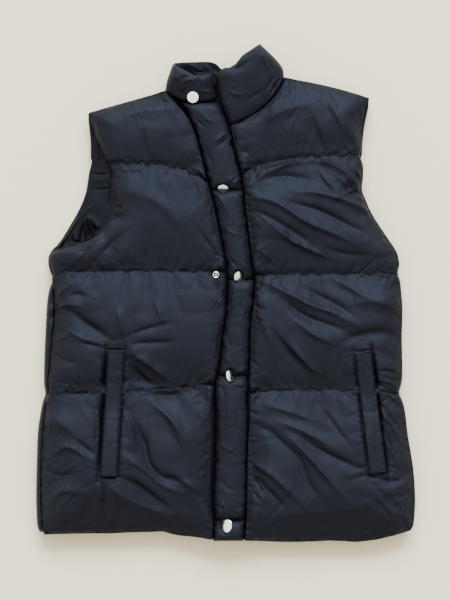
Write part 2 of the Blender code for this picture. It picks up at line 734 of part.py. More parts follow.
def snaps(placket, collar_right, front_right, material):
    """Five domed caps on the flap and the collar, and the stud of the one that is open."""
    for number, snap in enumerate(SNAP_CAPS, start=1):
        cap = ((0.0, CAP_HEIGHT), (0.5 * snap.radius, 0.86 * CAP_HEIGHT),
               (0.86 * snap.radius, 0.5 * CAP_HEIGHT), (snap.radius, 0.15 * CAP_HEIGHT),
               (0.94 * snap.radius, 0.0), (0.0, 0.0))
        surface = surface_of(collar_right if number == 1 else placket)
        place = seated(surface, snap.x, snap.y, snap.radius, snap.lean_x, snap.lean_y)
        turned(f"snap_cap_{number}", cap, place, material)
    stud = ((0.0, 0.7 * STUD_HEIGHT), (0.35 * STUD_RADIUS, STUD_HEIGHT),
            (0.5 * STUD_RADIUS, 0.35 * STUD_HEIGHT), (STUD_RADIUS, 0.25 * STUD_HEIGHT),
            (STUD_RADIUS, 0.0), (0.0, 0.0))
    place = seated(surface_of(front_right), *STUD_PLACE, STUD_RADIUS, 0, 0)
    turned("snap_stud_3", stud, place, material)


def plain_material(name, colour, roughness, metallic=0.0):
    """A Principled material of one colour."""
    material = bpy.data.materials.new(name)
    material.use_nodes = True
    shader = material.node_tree.nodes["Principled BSDF"]
    shader.inputs["Base Color"].default_value = (*colour, 1.0)
    shader.inputs["Roughness"].default_value = roughness
    shader.inputs["Metallic"].default_value = metallic
    material.diffuse_color = (*colour, 1.0)
    return material


def build():
    """Clear the scene and make every piece of the vest."""
    for old in list(bpy.data.objects):
        bpy.data.objects.remove(old, do_unlink=True)
    names = {}
    for name, colour in (("back_nylon", (0.030, 0.038, 0.055)),
                         ("right_front_nylon", (0.034, 0.042, 0.060)),
                         ("left_front_nylon", (0.034, 0.042, 0.060)),
                         ("flap_nylon", (0.036, 0.045, 0.064)),
                         ("collar_nylon", (0.034, 0.042, 0.060)),
                         ("inner_nylon", (0.026, 0.032, 0.046)),
                         ("welt_nylon", (0.032, 0.040, 0.057))):
        names[name] = plain_material(name, colour, 0.42)
    nickel = plain_material("nickel_plate", (0.78, 0.77, 0.74), 0.22, 1.0)
    back_panel(names["back_nylon"])
    front_right = front_panel("front_right", RIGHT_ROWS, NECK_RIGHT, RIGHT_FOLDS, WELT_RIGHT, -1,
                              names["right_front_nylon"])
    front_left = front_panel("front_left", LEFT_ROWS, NECK_LEFT, LEFT_FOLDS, WELT_LEFT, 1,
                             names["left_front_nylon"])
    placket = flap(names["flap_nylon"])
    collar(names["collar_nylon"], names["inner_nylon"])
    welt("welt_right", WELT_RIGHT, front_right, names["welt_nylon"])
    welt("welt_left", WELT_LEFT, front_left, names["welt_nylon"])
    snaps(placket, bpy.data.objects["collar_right"], front_right, nickel)


build()
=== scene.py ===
import math

import bmesh
import bpy
import numpy as np
from mathutils import Matrix, Vector
from mathutils.bvhtree import BVHTree


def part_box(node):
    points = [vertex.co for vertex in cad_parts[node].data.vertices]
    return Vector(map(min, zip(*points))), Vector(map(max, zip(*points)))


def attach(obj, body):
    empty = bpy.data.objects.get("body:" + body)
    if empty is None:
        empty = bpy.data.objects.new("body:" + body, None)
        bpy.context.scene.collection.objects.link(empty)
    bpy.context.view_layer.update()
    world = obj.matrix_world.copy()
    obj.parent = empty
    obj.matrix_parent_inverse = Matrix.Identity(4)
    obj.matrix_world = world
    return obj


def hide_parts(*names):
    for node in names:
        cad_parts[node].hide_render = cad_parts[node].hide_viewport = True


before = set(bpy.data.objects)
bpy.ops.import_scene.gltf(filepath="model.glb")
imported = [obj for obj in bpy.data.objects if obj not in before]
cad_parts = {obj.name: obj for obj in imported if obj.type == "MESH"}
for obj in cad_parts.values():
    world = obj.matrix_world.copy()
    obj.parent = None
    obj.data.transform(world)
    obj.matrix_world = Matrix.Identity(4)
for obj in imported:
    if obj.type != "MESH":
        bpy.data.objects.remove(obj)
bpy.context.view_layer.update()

mm = 0.001  # tables and lengths below are in millimetres

# Creases are placed by pixel of a frame of 450 x 600, with the vest's middle at 225, 293
imageFrame = {"height": 600, "mmPerPixel": 1.5, "middle": (225, 293)}


def fromPixels(path):  # pixel pairs (u, v) as places on the vest
    offsets = np.asarray(path, float) - imageFrame["middle"]
    return offsets * (imageFrame["mmPerPixel"], -imageFrame["mmPerPixel"])


# Curves and smooth noise

def rounded(distance, width):  # quarter-round edge: 0 at the edge, 1 from width inwards
    reach = np.clip(distance / width, 0.0, 1.0)
    return np.sqrt(np.maximum(1.0 - (1.0 - reach) ** 2, 0.0))


def sloped(distance, width):  # like rounded, but with a gentle start
    reach = np.clip(distance / width, 0.0, 1.0)
    return 1.0 - (1.0 - reach) ** 2


def bell(distance, width):  # soft bump of height 1
    return np.exp(-(distance / width) ** 2)


def smoothStep(value, low, high):
    part = np.clip((value - low) / (high - low), 0.0, 1.0)
    return part * part * (3 - 2 * part)


def catmullRom(keys, places):  # smooth curve through keys, read at places counted in keys
    keys = np.asarray(keys, float)
    last = len(keys) - 1
    start = np.clip(np.floor(places).astype(int), 0, last - 1)
    part = (places - start).reshape((-1,) + (1,) * (keys.ndim - 1))
    before, near, far, after = (keys[np.clip(start + offset, 0, last)]
                                for offset in (-1, 0, 1, 2))
    return 0.5 * (2 * near + (far - before) * part
                  + (2 * before - 5 * near + 4 * far - after) * part ** 2
                  + (3 * near - before - 3 * far + after) * part ** 3)


def travelledAlong(path):  # how far each point lies along a path, from 0
    return np.concatenate([[0.0], np.cumsum(np.linalg.norm(np.diff(path, axis=0), axis=1))])


def placesAt(stations, lengths, path):  # points of a path at these lengths along it
    return np.stack([np.interp(stations, lengths, column) for column in path.T], axis=-1)


def evenly(keys, count):  # count points, evenly spaced along a smooth curve through keys
    dense = catmullRom(keys, np.linspace(0, len(keys) - 1, 40 * len(keys)))
    lengths = travelledAlong(dense)
    return placesAt(np.linspace(0, lengths[-1], count), lengths, dense)


def crowded(count, crowding):  # 0 to 1, closer together at both ends
    steps = np.linspace(0.0, 1.0, count + 1)
    return steps - crowding * np.sin(2 * np.pi * steps) / (2 * np.pi)


def waves(seed, shortest, longest, count=12):  # smooth noise along a line, about -1 to 1
    dice = np.random.default_rng(seed)
    lengths = dice.uniform(shortest, longest, count)
    turns = dice.uniform(0, 2 * np.pi, count)

    def read(place):
        total = sum(np.sin(2 * np.pi * place / length + turn)
                    for length, turn in zip(lengths, turns))
        return total / math.sqrt(count / 2)
    return read


def softNoise(seed, x, y, size):  # smooth noise over the plane, about -1 to 1, lumps of one size
    dice = np.random.default_rng(seed)
    lattice = dice.uniform(-1, 1, (64, 64))
    u, v = x / size + 31.7, y / size + 29.3
    column, row = np.floor(u).astype(int), np.floor(v).astype(int)
    across, up = smoothStep(u - column, 0, 1), smoothStep(v - row, 0, 1)
    column, row = column % 63, row % 63
    low = lattice[row, column] * (1 - across) + lattice[row, column + 1] * across
    high = lattice[row + 1, column] * (1 - across) + lattice[row + 1, column + 1] * across
    return low * (1 - up) + high * up


def distanceTo(start, end, x, y):  # distance from a straight line, which side, and how far along
    run = np.subtract(end, start)
    part = ((x - start[0]) * run[0] + (y - start[1]) * run[1]) / np.dot(run, run)
    held = np.clip(part, 0, 1)
    offX, offY = x - start[0] - held * run[0], y - start[1] - held * run[1]
    side = np.sign(run[0] * (y - start[1]) - run[1] * (x - start[0]))
    return np.hypot(offX, offY), side, held


def alongPath(path, x, y):  # signed distance from a bent line, and how far along, 0 to 1
    spans, travelled = np.linalg.norm(np.diff(path, axis=0), axis=1), travelledAlong(path)
    nearest = np.full(np.shape(x), 1e9)
    signed, part = np.zeros(np.shape(x)), np.zeros(np.shape(x))
    for start, end, span, before in zip(path, path[1:], spans, travelled):
        away, side, held = distanceTo(start, end, x, y)
        closer = away < nearest
        nearest = np.where(closer, away, nearest)
        signed = np.where(closer, away * side, signed)
        part = np.where(closer, (before + held * span) / travelled[-1], part)
    return signed, part


crease = {
    "flanks": (1.5, 0.65),  # half widths of its gentle and its steep flank
    "crown": 0.5,  # how round its top is
    "ends": (0.04, 0.96), "taper": 0.8,
}


def creaseHeight(creases, x, y):
    # sum of ridges (+) and troughs (-): rise and half width in mm, then a path in pixels
    total = np.zeros(np.shape(x))
    for rise, halfWidth, *pixels in creases:
        path = fromPixels(np.reshape(pixels, (-1, 2)))
        signed, part = alongPath(evenly(path, 3 * len(path)), x, y)
        spread = np.where(signed * rise > 0, *crease["flanks"]) * halfWidth
        crest = np.exp(crease["crown"] - np.hypot(crease["crown"], 2 * signed / spread))
        total += rise * crest * np.sin(np.pi * np.clip(part, *crease["ends"])) ** crease["taper"]
    return total


# Key rows and lofts

def bowedRows(keys, columns):
    # key rows (startX, startY, endX, endY, rise of the middle, share of the drop kept for the end)
    keys = np.array([(*key, 0)[:6] for key in keys], float)
    part = columns[None, :]
    late = keys[:, 5:6]
    dropped = part * (1 - late) + late * part ** 4
    x = keys[:, 0:1] * (1 - part) + keys[:, 2:3] * part
    y = keys[:, 1:2] * (1 - dropped) + keys[:, 3:4] * dropped + keys[:, 4:5] * 4 * part * (1 - part)
    return np.stack([x, y], axis=-1)


def loft(keyPoints, seams, step, crowding):
    # rows through the key rows, each with its distance to the seam below and above it
    lengths = travelledAlong(keyPoints[:, keyPoints.shape[1] // 2])
    stations, below, above, tiers, seamRows = [], [], [], [], [0]
    for tier, (low, high) in enumerate(zip(seams, seams[1:])):
        tierLength = lengths[high] - lengths[low]
        parts = crowded(max(3, round(tierLength / step)), crowding)[(1 if tier else 0):]
        stations += list(lengths[low] + parts * tierLength)
        below += list(parts * tierLength)
        above += list((1 - parts) * tierLength)
        tiers += [tier] * len(parts)
        seamRows.append(len(stations) - 1)
    rows = catmullRom(keyPoints, np.interp(stations, lengths, np.arange(len(lengths))))
    return rows, np.array(below), np.array(above), np.array(tiers), seamRows


def finer(points):  # twice as many rows and columns, on smooth curves
    rows = catmullRom(points, np.arange(0, points.shape[0] - 0.75, 0.5))
    if points.ndim == 1:
        return rows
    across = catmullRom(rows.swapaxes(0, 1), np.arange(0, points.shape[1] - 0.75, 0.5))
    return across.swapaxes(0, 1)


def widthOf(points):  # the straight width of each row
    return np.linalg.norm(points[:, -1] - points[:, 0], axis=-1)[:, None]


def atHeight(points, z):
    return np.dstack([points, np.broadcast_to(z, points.shape[:2])])


def heldRim(points):  # which points of a grid are sewn down: its four edges
    held = np.ones(points.shape[:2], bool)
    held[1:-1, 1:-1] = False
    return held


def normalsOf(points):
    normal = np.cross(np.gradient(points, axis=1), np.gradient(points, axis=0))
    return normal / np.maximum(np.linalg.norm(normal, axis=-1, keepdims=True), 1e-9)


# Meshes

def meshObject(name, builder):
    mesh = bpy.data.meshes.new(name)
    builder.to_mesh(mesh)
    builder.free()
    piece = bpy.data.objects.new(name, mesh)
    bpy.context.scene.collection.objects.link(piece)
    return piece


def addGrid(builder, points):  # a create_grid sheet moved onto rows x columns of points
    rows, columns = points.shape[:2]
    made = bmesh.ops.create_grid(builder, x_segments=columns - 1, y_segments=rows - 1, size=0.5)
    for vertex, place in zip(made["verts"], points.reshape(-1, 3) * mm):
        vertex.co = place
    return made["verts"]


def gridObject(name, points):
    builder = bmesh.new()
    addGrid(builder, points)
    return meshObject(name, builder)


def finished(piece, sharpAngle=70):
    piece.data.shade_smooth()
    piece.data.set_sharp_from_angle(angle=math.radians(sharpAngle))
    return piece


def closedShell(name, points, under):
    # a padded piece: its worked top, and a plain underside at one height or on its own points
    builder = bmesh.new()
    addGrid(builder, points)
    rim = [edge for edge in builder.edges if edge.is_boundary]
    if np.ndim(under):
        addGrid(builder, under)
        allRims = [edge for edge in builder.edges if edge.is_boundary]
        bmesh.ops.bridge_loops(builder, edges=allRims)
    else:
        made = bmesh.ops.extrude_edge_only(builder, edges=rim)["geom"]
        for vertex in (item for item in made if isinstance(item, bmesh.types.BMVert)):
            vertex.co.z = under * mm
        foot = [edge for edge in builder.edges if edge.is_boundary]
        bmesh.ops.contextual_create(builder, geom=foot)
    bmesh.ops.recalc_face_normals(builder, faces=builder.faces)
    return finished(meshObject(name, builder), 38)


def dress(piece, material, slot, *nodes):  # finish, body and what it stands for
    piece.data.materials.append(material)
    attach(piece, "root")
    if nodes:
        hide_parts(*nodes)
    return piece


# Materials

def toLinear(hexColour):
    channels = [int(hexColour[index:index + 2], 16) / 255 for index in (1, 3, 5)]
    return tuple(c / 12.92 if c <= 0.04045 else ((c + 0.055) / 1.055) ** 2.4
                 for c in channels) + (1.0,)


def addNode(tree, kind, settings=None, links=None):
    node = tree.nodes.new(kind)
    for name, value in (settings or {}).items():
        if isinstance(name, int) or name in node.inputs:
            node.inputs[name].default_value = value
        else:
            setattr(node, name, value)
    for name, source in (links or {}).items():
        tree.links.new(source, node.inputs[name])
    return node


def newMaterial(name, settings):  # settings that are the same all over the surface
    material = bpy.data.materials.new(name)
    material.use_nodes = True
    shader = material.node_tree.nodes["Principled BSDF"]
    for socket, value in settings.items():
        shader.inputs[socket].default_value = value
    return material, material.node_tree, shader


nylonFinish = {
    "shell": {"name": "satinNylonTaffeta", "colour": "#0f0e12", "lighter": "#131217",
              "roughness": (0.54, 0.64), "tint": "#b9cef2"},
    # the lining is the shell nylon with a dimmer specular tint: painted shade for lining that lies
    # low under the fronts and the collar
    "lining": {"name": "nylonLiningPaintedShade", "colour": "#0e0e11", "lighter": "#121216",
               "roughness": (0.48, 0.6), "tint": "#80889f"},
    "toneSize": 45.0,  # mm across a lighter or darker patch
    "dentSize": 14.0, "dentDepth": 0.9,  # mm; the small dents of washed nylon
    "ribSpacing": 5.655, "ribDepth": 0.05,  # mm; real threads lie 0.2 mm apart, too fine to show
}


def nylon(kind):
    # tightly woven nylon with a soft satin shine: broad bluish highlights on a near-black navy
    finish = nylonFinish[kind]
    material, tree, shader = newMaterial(finish["name"], {
        "IOR": 1.45,  # dyed and calendered nylon
        "Specular IOR Level": 0.17, "Specular Tint": toLinear(finish["tint"])})
    place = addNode(tree, "ShaderNodeTexCoord").outputs["Object"]
    tone = addNode(tree, "ShaderNodeTexNoise",
                   {"Scale": 1 / (nylonFinish["toneSize"] * mm), "Detail": 3.0},
                   {"Vector": place})
    colour = addNode(tree, "ShaderNodeMix", {"data_type": "RGBA", 6: toLinear(finish["colour"]),
                                             7: toLinear(finish["lighter"])},
                     {0: tone.outputs["Fac"]})
    gloss = addNode(tree, "ShaderNodeMapRange", {"To Min": finish["roughness"][0],
                                                 "To Max": finish["roughness"][1]},
                    {"Value": tone.outputs["Fac"]})
    dents = addNode(tree, "ShaderNodeTexNoise",
                    {"Scale": 1 / (nylonFinish["dentSize"] * mm), "Detail": 4.0,
                     "Roughness": 0.55}, {"Vector": place})
    bands = math.pi / (10 * nylonFinish["ribSpacing"] * mm)  # as a wave texture counts them
    warp, weft = (addNode(tree, "ShaderNodeTexWave", {"bands_direction": way, "Scale": bands},
                          {"Vector": place}).outputs["Fac"] for way in "XY")
    weave = addNode(tree, "ShaderNodeMath", {"operation": "ADD"}, {0: warp, 1: weft})
    crumpled = addNode(tree, "ShaderNodeBump",
                       {"Strength": 0.3, "Distance": nylonFinish["dentDepth"] * mm},
                       {"Height": dents.outputs["Fac"]})
    woven = addNode(tree, "ShaderNodeBump",
                    {"Strength": 0.25, "Distance": nylonFinish["ribDepth"] * mm},
                    {"Height": weave.outputs["Value"], "Normal": crumpled.outputs["Normal"]})
    tree.links.new(colour.outputs[2], shader.inputs["Base Color"])
    tree.links.new(gloss.outputs["Result"], shader.inputs["Roughness"])
    tree.links.new(woven.outputs["Normal"], shader.inputs["Normal"])
    return material


def polishedNickel():  # pressed and plated brass: a bright, slightly warm mirror, faintly smudged
    material, tree, shader = newMaterial("polishedNickelPlate", {
        "Base Color": toLinear("#fbf8f1"), "Metallic": 1.0})
    place = addNode(tree, "ShaderNodeTexCoord").outputs["Object"]
    smudge = addNode(tree, "ShaderNodeTexNoise", {"Scale": 1 / (4 * mm)}, {"Vector": place})
    gloss = addNode(tree, "ShaderNodeMapRange", {"To Min": 0.09, "To Max": 0.2},
                    {"Value": smudge.outputs["Fac"]})
    tree.links.new(gloss.outputs["Result"], shader.inputs["Roughness"])
    return material


def polyesterThreadPaintedShade():  # spun navy thread, matt; its colour is kept darker than the cloth as painted shade for the dimples it draws into each seam
    material, tree, shader = newMaterial("spunPolyesterThreadPaintedShade", {
        "Roughness": 0.75, "Specular IOR Level": 0.1})
    place = addNode(tree, "ShaderNodeTexCoord").outputs["Object"]
    twist = addNode(tree, "ShaderNodeTexNoise", {"Scale": 1 / (0.6 * mm)}, {"Vector": place})
    # navy thread colours, darkened past the cloth's own: partly the thread's real dye, partly
    # painted shade of the seam it sinks into
    colour = addNode(tree, "ShaderNodeMix", {"data_type": "RGBA", 6: toLinear("#07080b"),
                                             7: toLinear("#0f1117")}, {0: twist.outputs["Fac"]})
    tree.links.new(colour.outputs[2], shader.inputs["Base Color"])
    return material


# the lining's copy of the nylon carries painted shade in its dimmer specular tint
shellNylon, liningNylonPaintedShade = nylon("shell"), nylon("lining")
nickel, thread = polishedNickel(), polyesterThreadPaintedShade()


# The vest's form: the same heights and edges as its solids

form = {
    "backThick": 20.0,
    "frontUnder": 20.3,
    "flapUnder": 24.6,
    "seamHeight": 4.0,
    "rimHeight": 8.5,
    "lapMargin": 2.0,
    "lapFoot": 0.8,
    "neckSeam": 0.9,
    "neckOverlap": 25.0,
    "gap": 0.3,
    "floorGap": 1.5,  # the cloth stays this far above a piece's underside
    # the right front gapes from the flap, its foot by a little more: y, extra margin
    "gapeFoot": 1.1,
    "gape": ((-350, 0.0), (-322, 5.0), (-185, 5.0), (-162, 3.0), (-142, 0.0), (-22, 0.0),
             (-4, 2.5), (14, 0.0)),
}

# storm flap from the hem up: height, its two edges, and whether a seam crosses it
flap = {
    "rows": [
        (-371.5, -18, 27, 1), (-340, -15, 30, 1), (-300, -16, 31, 0), (-236, -13, 32, 0),
        (-190, -12, 34, 0), (-160, -14, 33, 0), (-135, -14, 34, 0), (-123, -11, 34, 1),
        (-93, -6, 36, 0), (-63, -3, 36, 0), (-33, 2, 38, 0), (-8, 4, 42, 0), (20, 4, 43, 1),
        (46, 2, 39, 0), (72, -3, 36, 0), (102, -9, 32, 0), (132, -15, 28, 0),
        (154, -21, 27, 1), (182, -28, 22, 0), (207, -34, 15, 0), (230, -40.5, 10, 0),
        (247, -46, 6, 0), (267, -55, -3, 0), (285, -62.5, -12.5, 1),
    ],
    "loft": 21.0, "sideRoll": 13.0, "seamRoll": 17.0, "startShare": 0.9, "growth": 0.002,
    "step": 2.4, "columns": 22, "crowding": (0.3, 0.2),  # of its columns and its rows
    "rim": 8.5, "seam": 10.0, "crumple": 0.4, "edgeTucks": 0.7, "endRise": 20.0,
    "ripple": 0.7, "rippleLength": (14, 42), "rippleReach": 6.0, "rippleShift": 60,
    "creases": [
        (2.5, 3, 213, 145, 219, 140, 227, 133), (-2, 3, 216, 148, 224, 142, 230, 135),
        (-2, 3, 194, 117, 200, 124, 206, 128), (1.6, 5, 199, 112, 206, 120, 216, 124),
        (-1.6, 4, 204, 150, 210, 158, 213, 168), (2, 4, 226, 178, 231, 182, 238, 184),
        (-2.2, 2.6, 229, 184, 234, 180, 240, 174), (2, 3, 216, 196, 222, 202, 226, 212),
        (-1.6, 4, 232, 196, 235, 206, 236, 220), (1.6, 4, 221, 224, 229, 232, 240, 236),
        (-2, 3, 228, 256, 233, 262, 237, 268), (2, 3, 240, 262, 245, 268, 250, 273),
        (2.2, 4, 236, 284, 233, 296, 232, 312), (-1.8, 4, 241, 288, 243, 300, 241, 316),
        (-1.6, 4, 224, 330, 229, 340, 232, 350), (1.8, 4, 222, 352, 227, 360, 231, 366),
        (2.6, 2.6, 234, 374, 240, 371, 247, 367), (-2.2, 2.6, 233, 379, 239, 378, 246, 376),
        (2.2, 2.4, 234, 384, 240, 385, 246, 388), (-1.8, 3, 219, 384, 224, 392, 226, 402),
        (1.8, 5, 226, 396, 229, 420, 228, 446), (-1.6, 4, 236, 404, 237, 420, 235, 436),
        (1.6, 4, 219, 440, 226, 448, 236, 452), (-1.8, 4, 221, 478, 227, 486, 236, 490),
        (2, 4, 219, 498, 224, 506, 227, 515), (-2, 3, 233, 508, 237, 514, 243, 518),
        (2, 3, 217, 518, 221, 521, 224, 523), (-2, 3, 217, 529, 221, 528, 223, 527),
        (2, 3, 233, 520, 238, 517, 243, 512),
    ],
}
flapTable = np.array(flap["rows"], float)
neckRight = ((-90, 302.5), (-72, 284), (-43, 246))
neckLeft = ((88.5, 322.5), (61, 281), (7.0, 249.5))


def throughThree(points, part):
    part = np.asarray(part, float)[..., None]
    start, middle, end = (np.array(point, float) for point in points)
    return (start * (1 - part) * (1 - 2 * part) + middle * 4 * part * (1 - part)
            + end * part * (2 * part - 1))


def flapEdge(y, side):  # side -1 is the flap's left edge, 1 its right one
    return np.interp(y, flapTable[:, 0], flapTable[:, 1 if side < 0 else 2])


def frontEdge(neck, y, side):  # where a front ends: its neckline, or the middle of the flap
    y = np.asarray(y, float)
    curve = throughThree(neck, np.linspace(0, 1, 80))
    onNeck = np.interp(y, curve[::-1, 1], curve[::-1, 0]) + side * form["gap"]
    underFlap = 0.5 * (flapEdge(y, -1) + flapEdge(y, 1)) + side * form["gap"]
    overlap = form["neckOverlap"]  # the neckline runs under the flap's middle over this height
    part = np.clip((y - (neck[-1][1] - overlap)) / overlap, 0, 1)
    return np.where(y >= neck[-1][1], onNeck, underFlap * (1 - part) + neck[-1][0] * part)


def gapeAt(y, side):
    return np.interp(y, *np.transpose(form["gape"])) if side < 0 else np.zeros(np.shape(y))


def lapLine(neck, y, side):  # where a front's padding ends
    edge = flapEdge(y, side) + side * (form["lapMargin"] + gapeAt(y, side))
    inside = frontEdge(neck, y, side) + side * form["neckSeam"]
    return np.minimum(edge, inside) if side < 0 else np.maximum(edge, inside)


# Fronts. Rows from the hem up: side seam or armhole x, y; the other end's y; rise of the middle.
# Creases: rise and half width in mm, then the crease's path in pixels.

rightFront = {
    "name": "quiltedFrontRight", "node": "front_right", "side": -1, "neck": neckRight, "seed": 11,
    "lapTucks": 0.6,
    "grooves": [0, 1.8, 1.6, 0.4, 0],  # depth that the thread draws in at each seam, hem first
    "rows": [
        (-274, -360, -370, 3, 1), (-276, -310, -315, 2), (-276, -265, -268, 0),
        (-273, -205, -205, 0), (-267, -150, -136, -4), (-264, -118, -110, -2),
        (-261, -80, -78, 0), (-256, -38, -40, 0), (-257, -3, -5, 0), (-261, 31, 31, 2),
        (-263, 56, 50, 0), (-247, 65, 66, 0), (-225, 72, 80, 0), (-200, 82, 95, 2),
        (-180, 103, 112, 2), (-169, 126, 128, 3), (-170, 155, 143, 4, 0.6), (-170, 178, 155, 2, 1),
        (-177, 193, 166, 0, 1), (-184, 212, 190, 3, 0.7), (-192, 230, 213, 4, 0.3),
        (-197, 247, 238, 3),
        (-202, 257, 262, 2), (-205, 265, 284, 1), (-207, 270, 302, 0),
    ],
    "seams": [0, 4, 9, 18, 24],
    "loft": [33, 34, 34, 32],
    "pocket": ((-162, -86), (-173, -272)),
    # how far the hem lies above its plain row, across the front
    "hem": [(-274, -2), (-172, -3), (-110, 1), (-93, 3), (-80, 0), (-67, -1), (-20, 1)],
    "creases": [
        # top tier
        (-3, 6, 144, 128, 145, 140, 148, 162), (2.5, 14, 120, 118, 150, 112, 178, 112),
        # second tier
        (4, 6, 74, 264, 88, 250, 103, 235, 125, 211), (-4, 12, 96, 262, 112, 244, 132, 228),
        (-3, 6, 196, 226, 208, 243, 222, 260), (3, 4, 107, 222, 112, 215, 119, 214, 126, 209),
        (-4, 5, 111, 204, 116, 208, 124, 206), (-3, 4, 112, 218, 118, 218, 124, 214),
        (3, 16, 128, 192, 160, 205, 186, 232),
        # third tier: folds that meet at the top of the pocket
        (3.5, 6, 55, 300, 64, 291, 76, 282), (-4, 8, 68, 297, 78, 294, 90, 297),
        (4.5, 5, 53, 319, 58, 312, 66, 305, 82, 307),
        (-9, 12, 66, 306, 81, 318, 97, 329, 114, 340), (3.2, 5, 60, 325, 82, 338, 106, 347),
        (-3.5, 5, 82, 342, 94, 344, 107, 348), (2.5, 4, 56, 342, 62, 339, 70, 335),
        (-3, 6, 50, 352, 66, 360, 80, 362), (4, 6, 117, 308, 121, 322, 126, 345),
        (-3.5, 6, 126, 336, 149, 328, 173, 322), (-4, 7, 128, 344, 150, 342, 176, 341),
        (2.5, 7, 152, 298, 158, 310, 164, 326), (5.5, 8, 127, 350, 145, 361, 169, 380),
        (-8.5, 12, 127, 360, 138, 373, 149, 384, 167, 393, 187, 389),
        # hem tier
        (-9, 12, 125, 404, 136, 424, 145, 442, 151, 464, 166, 477, 192, 477),
        (5, 8, 126, 412, 132, 432, 130, 452), (5, 8, 172, 472, 186, 481, 202, 494),
        (5, 8, 124, 456, 145, 468, 163, 484, 184, 492),
        (-6, 9, 117, 474, 136, 482, 154, 496, 170, 506),
        (4.5, 8, 104, 480, 125, 496, 154, 509, 184, 516), (4, 10, 160, 408, 176, 428, 186, 456),
        (-4, 6, 93, 401, 98, 416, 97, 438, 97, 460),
        (-4.5, 5, 100, 474, 105, 491, 103, 511, 107, 523), (4, 8, 46, 412, 60, 422, 75, 434),
        (5, 9, 150, 402, 172, 420, 190, 446), (5, 8, 53, 455, 70, 446, 91, 459),
        (-5, 7, 76, 438, 86, 446, 97, 454), (-3.5, 8, 44, 470, 62, 474, 84, 470),
        (3, 9, 50, 500, 66, 490, 88, 492),
        # the pocket's mouth, and the sewn edges of its welt
        (-17, 3.4, 107.4, 345, 105.6, 380, 103.6, 412, 99.6, 480),
        (-4, 2.2, 126.2, 346, 123.8, 385, 121.4, 425, 118.6, 480),
        (-3.5, 2.2, 104, 349, 116, 349, 130, 349.4), (-4, 2.2, 96, 474.8, 109, 475.4, 123, 475.6),
    ],
}
